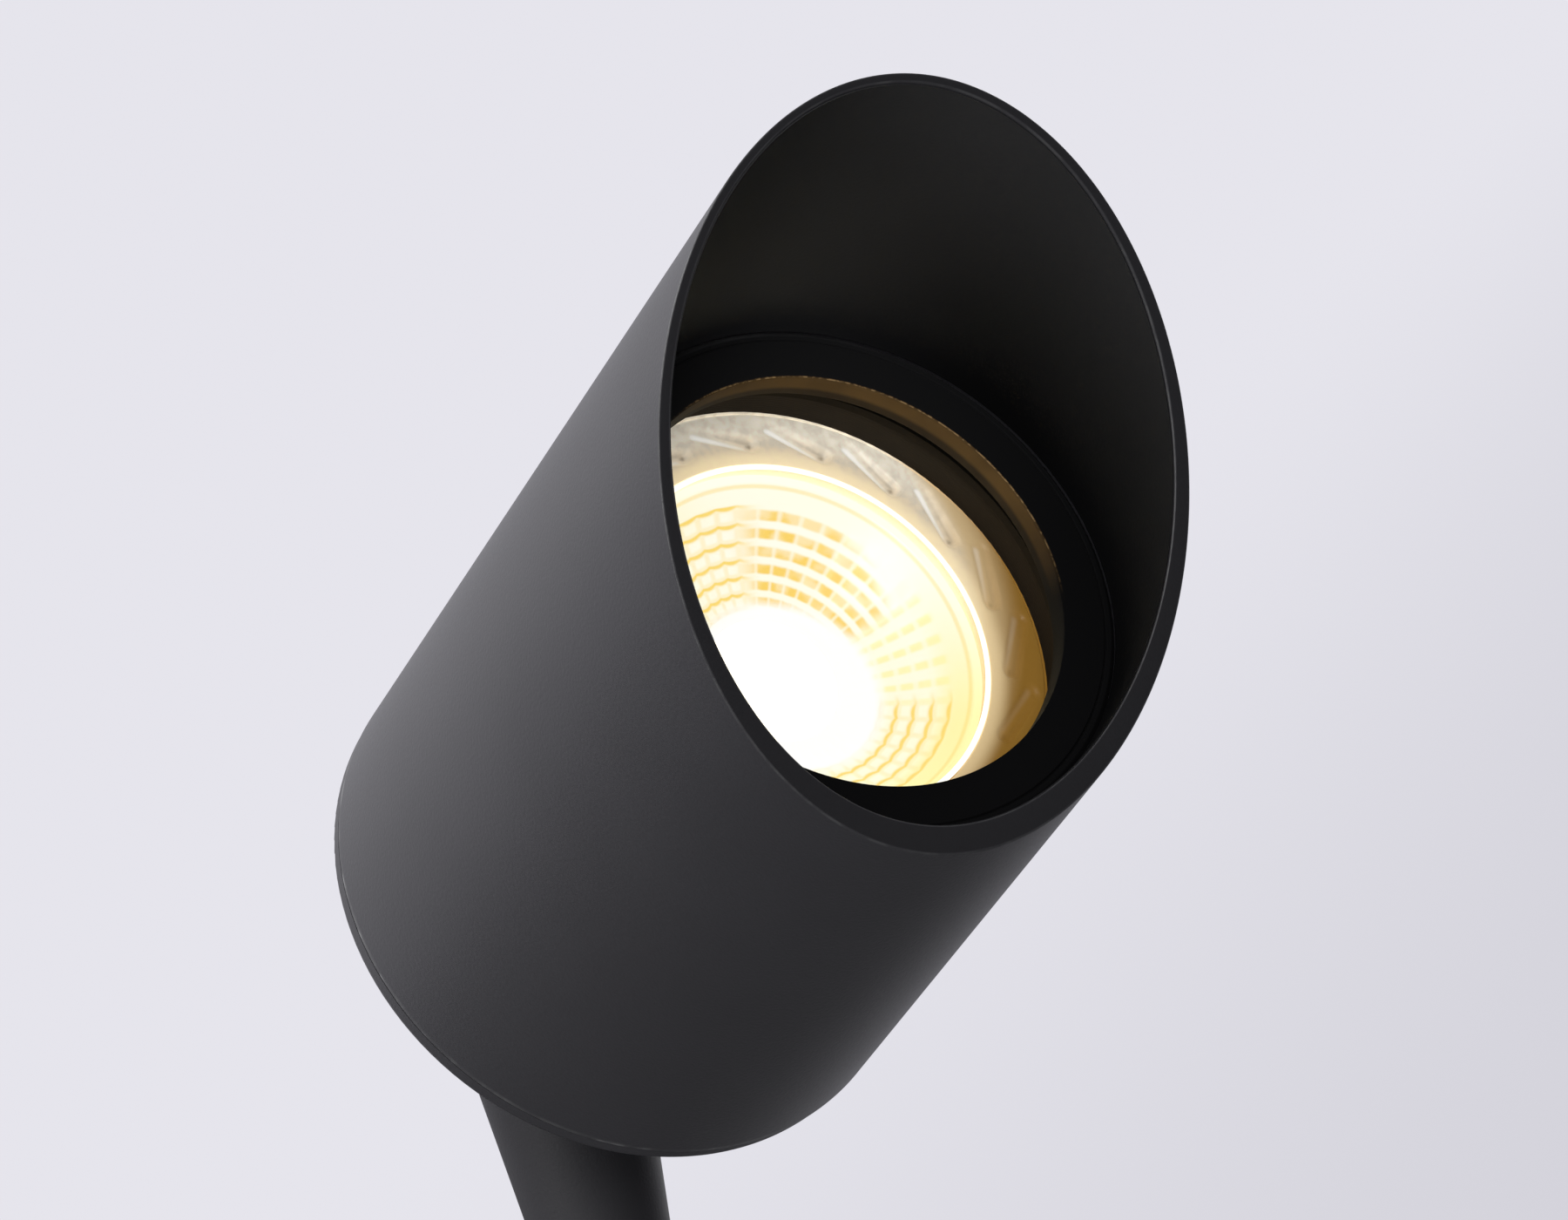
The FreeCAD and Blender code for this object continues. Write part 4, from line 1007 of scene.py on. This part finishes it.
@dataclass
class Lamp:
    """Reflector lamp behind the glass: slotted rim, faceted mirror, lens bead."""

    axes: Axes
    brim: float = 0.55 * MM
    brim_ease: float = 0.6 * MM
    crown_margin: float = 0.7 * MM
    crown_rows: int = 56
    rim_depth: float = 4.5 * MM
    rim_chamfer: float = 1.2 * MM
    neck: float = 14.5 * MM
    socket: float = 11.0 * MM
    socket_floor: float = 1.6 * MM
    mouth_gap: float = 0.1 * MM
    edge_soft: float = 0.4 * MM
    edge_small: float = 0.3 * MM
    edge_fine: float = 0.2 * MM
    slots: int = 18
    slot_columns: int = 24
    slot_length: float = 7.4 * MM
    slot_width: float = 1.5 * MM
    slot_depth: float = 0.6 * MM
    slot_lean: float = 70.0
    slot_middle: float = 22.6 * MM
    throat_rows: float = 0.8
    facet_rows: int = 6
    band_rows: float = 1.2
    facet_columns: int = 44
    facet_steps: int = 8
    facet_turn: float = -3.5
    facet_swell: float = 0.12 * MM
    cup_depth: float = 6.5 * MM
    cup_wall: float = 0.8 * MM
    cup_margin: float = 1.0 * MM
    axis_bore: float = 0.01 * MM
    bead: float = 0.55 * MM
    bead_rise: float = 0.1 * MM
    bead_sides: int = 12

    def rim(self) -> Surface:
        """Housing whose front face carries leaning slots.

        The face is sunk by the slot's depth times a smooth mask of the distance to the slot's middle
        line, and more so towards the slot's inner end.

        Returns:
            The closed housing.
        """
        body = self.axes.extent("lamp_body")
        lens = self.axes.extent("lamp_lens")
        back = self.axes.extent("lamp_reflector").low
        mouth = lens.radius + self.mouth_gap
        brim = body.radius + self.brim
        face = np.linspace(mouth, brim - self.crown_margin, self.crown_rows)
        crown = np.stack([face, np.full_like(face, body.high)], axis=-1)
        rim_back = body.high - self.rim_depth
        rest = eased_outline([
            (brim, body.high, self.brim_ease),
            (brim, rim_back, self.edge_small),
            (body.radius - self.rim_chamfer, rim_back - self.rim_chamfer, self.edge_soft),
            (self.neck, body.low, self.edge_soft),
            (self.socket, body.low, self.edge_fine),
            (self.socket, back - self.socket_floor, self.edge_fine),
            (mouth, back, self.edge_fine),
        ])
        outline = np.vstack([crown, rest])
        angle = angles(self.slot_columns * self.slots)
        radius = outline[:, :1] + 0.0 * angle
        height = outline[:, 1:] + 0.0 * angle
        tone = np.full_like(height, 0.5)
        depth, shade = self._slot(radius[: len(face)], angle)
        height[: len(face)] -= depth
        tone[: len(face)] += shade
        points = self.axes.turned(radius, height, angle)
        across = np.clip((outline[:, 0] - mouth) / (brim - mouth), 0.0, 1.0)
        across[len(face):] = 1.0
        return Surface("lamp_rim", points, Chart(RIM_MAP, self.slots, across), tone)

    def _slot(self, radius: np.ndarray, angle: np.ndarray) -> tuple[np.ndarray, np.ndarray]:
        """Depth and tone of the slots at points of the face.

        With u along a slot and v across it, the depth is a smooth step of the distance to the slot's
        middle line; the tone paints light and shade: a highlight streak beside that line, a shadow streak
        on its other side and a shadow at the inner end, each a bell exp(-(d / w)^2).

        Args:
            radius: Distances from the axis.
            angle: Angles round it.

        Returns:
            Depth in metres and tone from -0.5 to 0.5 at each point.
        """
        pitch = 2 * math.pi / self.slots
        offset = np.mod(angle + pitch / 2, pitch) - pitch / 2
        x = radius * np.cos(offset) - self.slot_middle
        y = radius * np.sin(offset)
        lean = math.radians(self.slot_lean)
        u = x * math.cos(lean) + y * math.sin(lean)
        v = y * math.cos(lean) - x * math.sin(lean)
        half = (self.slot_length - self.slot_width) / 2
        past = np.maximum(np.abs(u) - half, 0.0)
        wall = np.clip((self.slot_width / 2 - np.hypot(past, v)) / (0.45 * self.slot_width) + 0.5, 0.0, 1.0)
        mask = wall * wall * (3 - 2 * wall)
        inner = np.clip(0.5 - u / (2 * half), 0.0, 1.0)
        # Painted highlight and painted shadows of the slots.
        streak = self.slot_width / 4
        light = np.exp(-(np.hypot(past, v - streak) / streak) ** 2) * (1.0 - 0.7 * inner)
        dark = np.exp(-(np.hypot(past, v + streak) / streak) ** 2) * (0.16 + 0.4 * inner)
        end_shadow = np.exp(-(np.hypot(u + half, v) / streak) ** 2)
        tone = np.clip(0.5 * light - 0.5 * np.maximum(dark, end_shadow), -0.5, 0.5)
        return self.slot_depth * mask * (0.45 + 0.55 * inner), tone

    def mirror(self) -> Surface:
        """Cup of small cushioned facets in rows, open at the throat.

        Radius and height grow along the wall's part p as r0 + (r1 - r0) p and h1 - d (1 - p^1.5), with
        the cup's depth d; each facet swells inwards by a sine cushion over its column and row.

        Returns:
            The closed cup with a thin wall.
        """
        cup = self.axes.extent("lamp_reflector")
        rim = self.axes.extent("lamp_lens").radius - self.cup_margin
        steps = self.facet_steps
        count = self.throat_rows + self.facet_rows + self.band_rows
        row = np.linspace(0.0, count, round(steps * count) + 1) - self.throat_rows
        part = (row - row[0]) / count
        radius = cup.bore + (rim - cup.bore) * part
        height = cup.high - self.cup_depth * (1 - part ** 1.5)
        turn = angles(steps * self.facet_columns)
        cushion = np.abs(np.sin(math.pi * row))[:, None] * np.abs(np.sin(turn * self.facet_columns / 2))
        cushion[(row < 0.0) | (row > self.facet_rows)] = 0.0
        angle = turn + math.radians(self.facet_turn)
        inner = radius[:, None] - self.facet_swell * cushion
        outer = (radius[::-steps] + self.cup_wall)[:, None] + 0.0 * angle
        radii = np.vstack([inner, outer])
        heights = np.concatenate([height, height[::-steps]])[:, None]
        points = self.axes.turned(radii, heights, angle)
        counts = np.concatenate([row, row[::-steps]])
        return Surface("facet_mirror", points, Chart(FACET_MAP, self.facet_columns, counts))

    def lens(self) -> Surface:
        """Front lens with an eased rim, closed at the axis by a point-sized bore."""
        lens = self.axes.extent("lamp_lens")
        outline = eased_outline([
            (self.axis_bore, lens.high, self.axis_bore / 2),
            (lens.radius, lens.high, self.edge_soft),
            (lens.radius, lens.low, self.edge_small),
            (self.axis_bore, lens.low, self.axis_bore / 2),
        ])
        return Surface("front_lens", lathe(self.axes, outline))

    def edge(self) -> Surface:
        """Bead of light round the lens: a small round section carried round the axis."""
        lens = self.axes.extent("lamp_lens")
        turn = angles(self.bead_sides)
        half = self.bead / 2
        radius = lens.radius - half + half * np.cos(turn)
        height = lens.high + self.bead_rise + 0.5 * half * np.sin(turn)
        outline = np.stack([radius, height], axis=-1)
        return Surface("lens_bead", lathe(self.axes, outline))

    def dress(self) -> None:
        """Put the lamp's surfaces in place of their solids."""
        self.rim().piece("lamp_white", Body.HEAD, ("lamp_body",))
        self.mirror().piece("lamp_mirror", Body.HEAD, ("lamp_reflector",))
        self.lens().piece("lamp_clear", Body.HEAD, ("lamp_lens",))
        self.edge().piece("lens_glow", Body.HEAD, slot="lamp_clear")


@dataclass(frozen=True)
class Palette:
    """All finishes, one for each material slot of the record and some for single pieces.

    Attributes:
        finishes: Every finish that is made.
        own: CAD nodes with a finish of their own, which isn't named after their slot.
    """

    finishes: tuple[Finish, ...] = (
        Skin("black_coat", (0.0240, 0.0232, 0.0266), 0.46),
        # Darker copy of the body's coat for the stem, a painted shade; its rougher, less glossy skin
        # spreads the highlight.
        Skin("stem_coat", (0.0220, 0.0213, 0.0245), 0.62, gloss=0.35),
        RubbedLitCoat("hood_coat", (0.0240, 0.0232, 0.0266), 0.46),
        LiningCoat("hood_lining", (0.032, 0.032, 0.0335), 0.7, gloss=0.05),
        RingCoat("black_satin", (0.0120, 0.0120, 0.0125), 0.5),
        TurnedCoat("barrel_coat", (0.034, 0.026, 0.018), 0.6),
        Metal(
            "plated_steel", (0.66, 0.66, 0.64), 0.35, 1.0,
            streak=0.4 * MM, stretch=24.0, stain=7.0 * MM, relief=0.01 * MM,
        ),
        Metal("black_steel", (0.045, 0.045, 0.048), 0.42, metallic=0.7),
        Moulding("rubber_seal", (0.018, 0.018, 0.018), 0.75, sheen=0.1),
        Moulding("silicone_seal", (0.020, 0.015, 0.010), 0.7, gloss=0.03),
        Moulding("nylon", (0.028, 0.028, 0.030), 0.5),
        ClearPane("cover_glass", (0.05, 0.06, 0.055), 0.03),
        LampRim("lamp_white"),
        ClearPane("lamp_clear", (0.9, 0.85, 0.7), 0.06),
        FacetMirror("lamp_mirror"),
        Source("lamp_source", (1.0, 0.95, 0.85), 1.3),
        Moulding("circuit", (0.04, 0.20, 0.08), 0.4, grain=0.3 * MM),
        Metal("pin_metal", (0.72, 0.68, 0.58), 0.3),
        Moulding("ceramic", (0.78, 0.76, 0.70), 0.35),
        Moulding("lead_sleeve", (0.60, 0.58, 0.54), 0.6),
        Moulding("terminal_plastic", (0.70, 0.70, 0.66), 0.45),
        Source("lens_glow", (1.0, 0.97, 0.90), 1.05),
    )
    own: tuple[tuple[str, str], ...] = (("swivel_yoke", "stem_coat"),)

    def dress(self) -> None:
        """Clear the frame's plain materials, make every finish and put it on the CAD nodes of its slot."""
        for plain in list(bpy.data.materials):
            bpy.data.materials.remove(plain)
        made = {finish.name: finish.build() for finish in self.finishes}
        named = {subpart["node"]: subpart["material_slot"] for subpart in frame["record"]["subparts"]}
        for node, finish in (named | dict(self.own)).items():
            mesh = frame["nodes"][node].data
            mesh.materials.clear()
            mesh.materials.append(made[finish])
            LOG.info("%s: %s", node, finish)


@dataclass(frozen=True)
class Softbox:
    """A square area light aimed at the head."""

    name: str
    place: Colour
    size: float
    power: float
    colour: Colour = (1.0, 1.0, 1.0)

    def hang(self, target: Vector) -> None:
        """Make the light.

        Args:
            target: Point that it faces.
        """
        data = bpy.data.lights.new(self.name, "AREA")
        data.size = self.size
        data.energy = self.power
        data.color = self.colour
        light = put(self.name, data)
        light.location = self.place
        light.rotation_euler = (target - Vector(self.place)).to_track_quat("-Z", "Y").to_euler()


@dataclass
class Studio:
    """Pale floor and backdrop colour, soft lights and the camera."""

    backdrop: Colour = (0.790, 0.782, 0.840)
    shade: Colour = (0.640, 0.632, 0.690)
    ground: Colour = (0.54, 0.535, 0.565)
    dim: Colour = (0.12, 0.12, 0.125)
    front_light: float = 0.16
    back_light: float = 0.9
    room_span: Span = (-0.3, 0.9)
    floor_drop: float = 0.30
    floor_reach: float = 6.0
    floor_sides: int = 96
    far_span: Span = (0.2, 1.0)
    shade_way: Span = (1.07, -1.19)
    shade_span: Span = (-0.9, 0.1)
    behind_span: Span = (0.14, 0.50)
    lens: float = 180.0
    sensor: float = 36.0
    eye: Colour = (-0.4151, -0.7573, 0.2040)
    forward: Colour = (0.5532, 0.8225, -0.127)
    up: Colour = (0.268, -0.031, 0.962)
    lights: tuple[Softbox, ...] = (
        Softbox("key_left", (-0.72, 0.40, 0.95), 0.8, 17.0),
        Softbox("front_soft", (-0.50, -0.95, 0.45), 0.4, 5.8),
        Softbox("left_soft", (-1.05, -0.30, 0.15), 0.5, 6.0),
        Softbox("back_right", (1.00, 0.35, 0.25), 0.6, 5.0),
    )

    def build(self) -> None:
        """Set up world, floor, lights and camera."""
        bpy.context.scene.view_settings.view_transform = "Standard"
        self._world()
        self._floor()
        target = Vector(node_points("head_sleeve").mean(axis=0))
        for light in self.lights:
            light.hang(target)
        self._camera()

    def _world(self) -> None:
        """Backdrop colour for what the camera sees; for other rays it stands behind a darker room.

        The light of a direction d grows smoothly with its share along the camera's forward direction.
        """
        world = bpy.data.worlds.new("studio")
        bpy.context.scene.world = world
        recipe = Recipe(world, "Background")
        way = recipe.add("ShaderNodeTexCoord", output="Generated")
        behind = recipe.dot(way, self.forward).step(*self.room_span)
        seen = self._shown(recipe, behind)
        room = self.front_light + (self.back_light - self.front_light) * behind
        recipe.set(Color=self.backdrop, Strength=seen + (1.0 - seen) * room)

    def _floor(self) -> None:
        """Round floor below the light, which fades into the backdrop colour, with a painted shadow in one
        corner of its far part.
        """
        turn = angles(self.floor_sides)
        x, y = self.floor_reach * np.cos(turn), self.floor_reach * np.sin(turn)
        rim = np.stack([x, y, np.full_like(turn, -self.floor_drop)], axis=-1)
        mesh = bpy.data.meshes.new("floor")
        mesh.from_pydata(rim.tolist(), [], [list(range(self.floor_sides))])
        floor = put("floor", mesh)
        material = bpy.data.materials.new("pale_floor")
        recipe = Recipe(material, "Principled BSDF")
        x, y, _ = recipe.axes(recipe.place())
        far = (x * x + y * y).step(*self.far_span)
        # Painted shadow: the far floor darkens to the shade colour towards one corner of the view.
        corner = (x * self.shade_way[0] + y * self.shade_way[1]).step(*self.shade_span)
        behind = (x * self.forward[0] + y * self.forward[1]).step(*self.behind_span)
        seen = self._shown(recipe, behind)
        distance = recipe.mix(corner, self.backdrop, self.shade)
        recipe.set(
            Base_Color=recipe.mix(seen, self.dim, recipe.mix(far, self.ground, BLACK)),
            Roughness=0.8,
            Specular_IOR_Level=0.0,
            Emission_Color=recipe.mix(seen * far, BLACK, distance),
            Emission_Strength=1.0,
        )
        mesh.materials.append(material)

    @staticmethod
    def _shown(recipe: Recipe, share: Number) -> Term:
        """How much of the pale ground a ray sees: all of it for the camera, a share for gloss and glass."""
        kinds = ("Is Camera Ray", "Is Glossy Ray", "Is Transmission Ray")
        camera, gloss, glass = (recipe.add("ShaderNodeLightPath", output=kind) for kind in kinds)
        return (camera + share * (gloss + glass)).lower(1.0)

    def _camera(self) -> None:
        """Long lens from the front left, rolled as in the photograph."""
        data = bpy.data.cameras.new("camera")
        data.lens = self.lens
        data.sensor_width = self.sensor
        camera = put("camera", data)
        back = -Vector(self.forward).normalized()
        right = Vector(self.up).cross(back).normalized()
        above = back.cross(right)
        turn = Matrix((right, above, back)).transposed().to_4x4()
        camera.matrix_world = Matrix.Translation(self.eye) @ turn
        bpy.context.scene.camera = camera


def main() -> None:
    """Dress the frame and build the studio."""
    logging.basicConfig(level=logging.INFO, format="%(name)s: %(message)s")
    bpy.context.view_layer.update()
    head = Axes.of_head()
    Palette().dress()
    Hood(head).dress()
    FrontRing(head).dress()
    Lamp(head).dress()
    Studio().build()


if __name__ == "__main__":
    main()
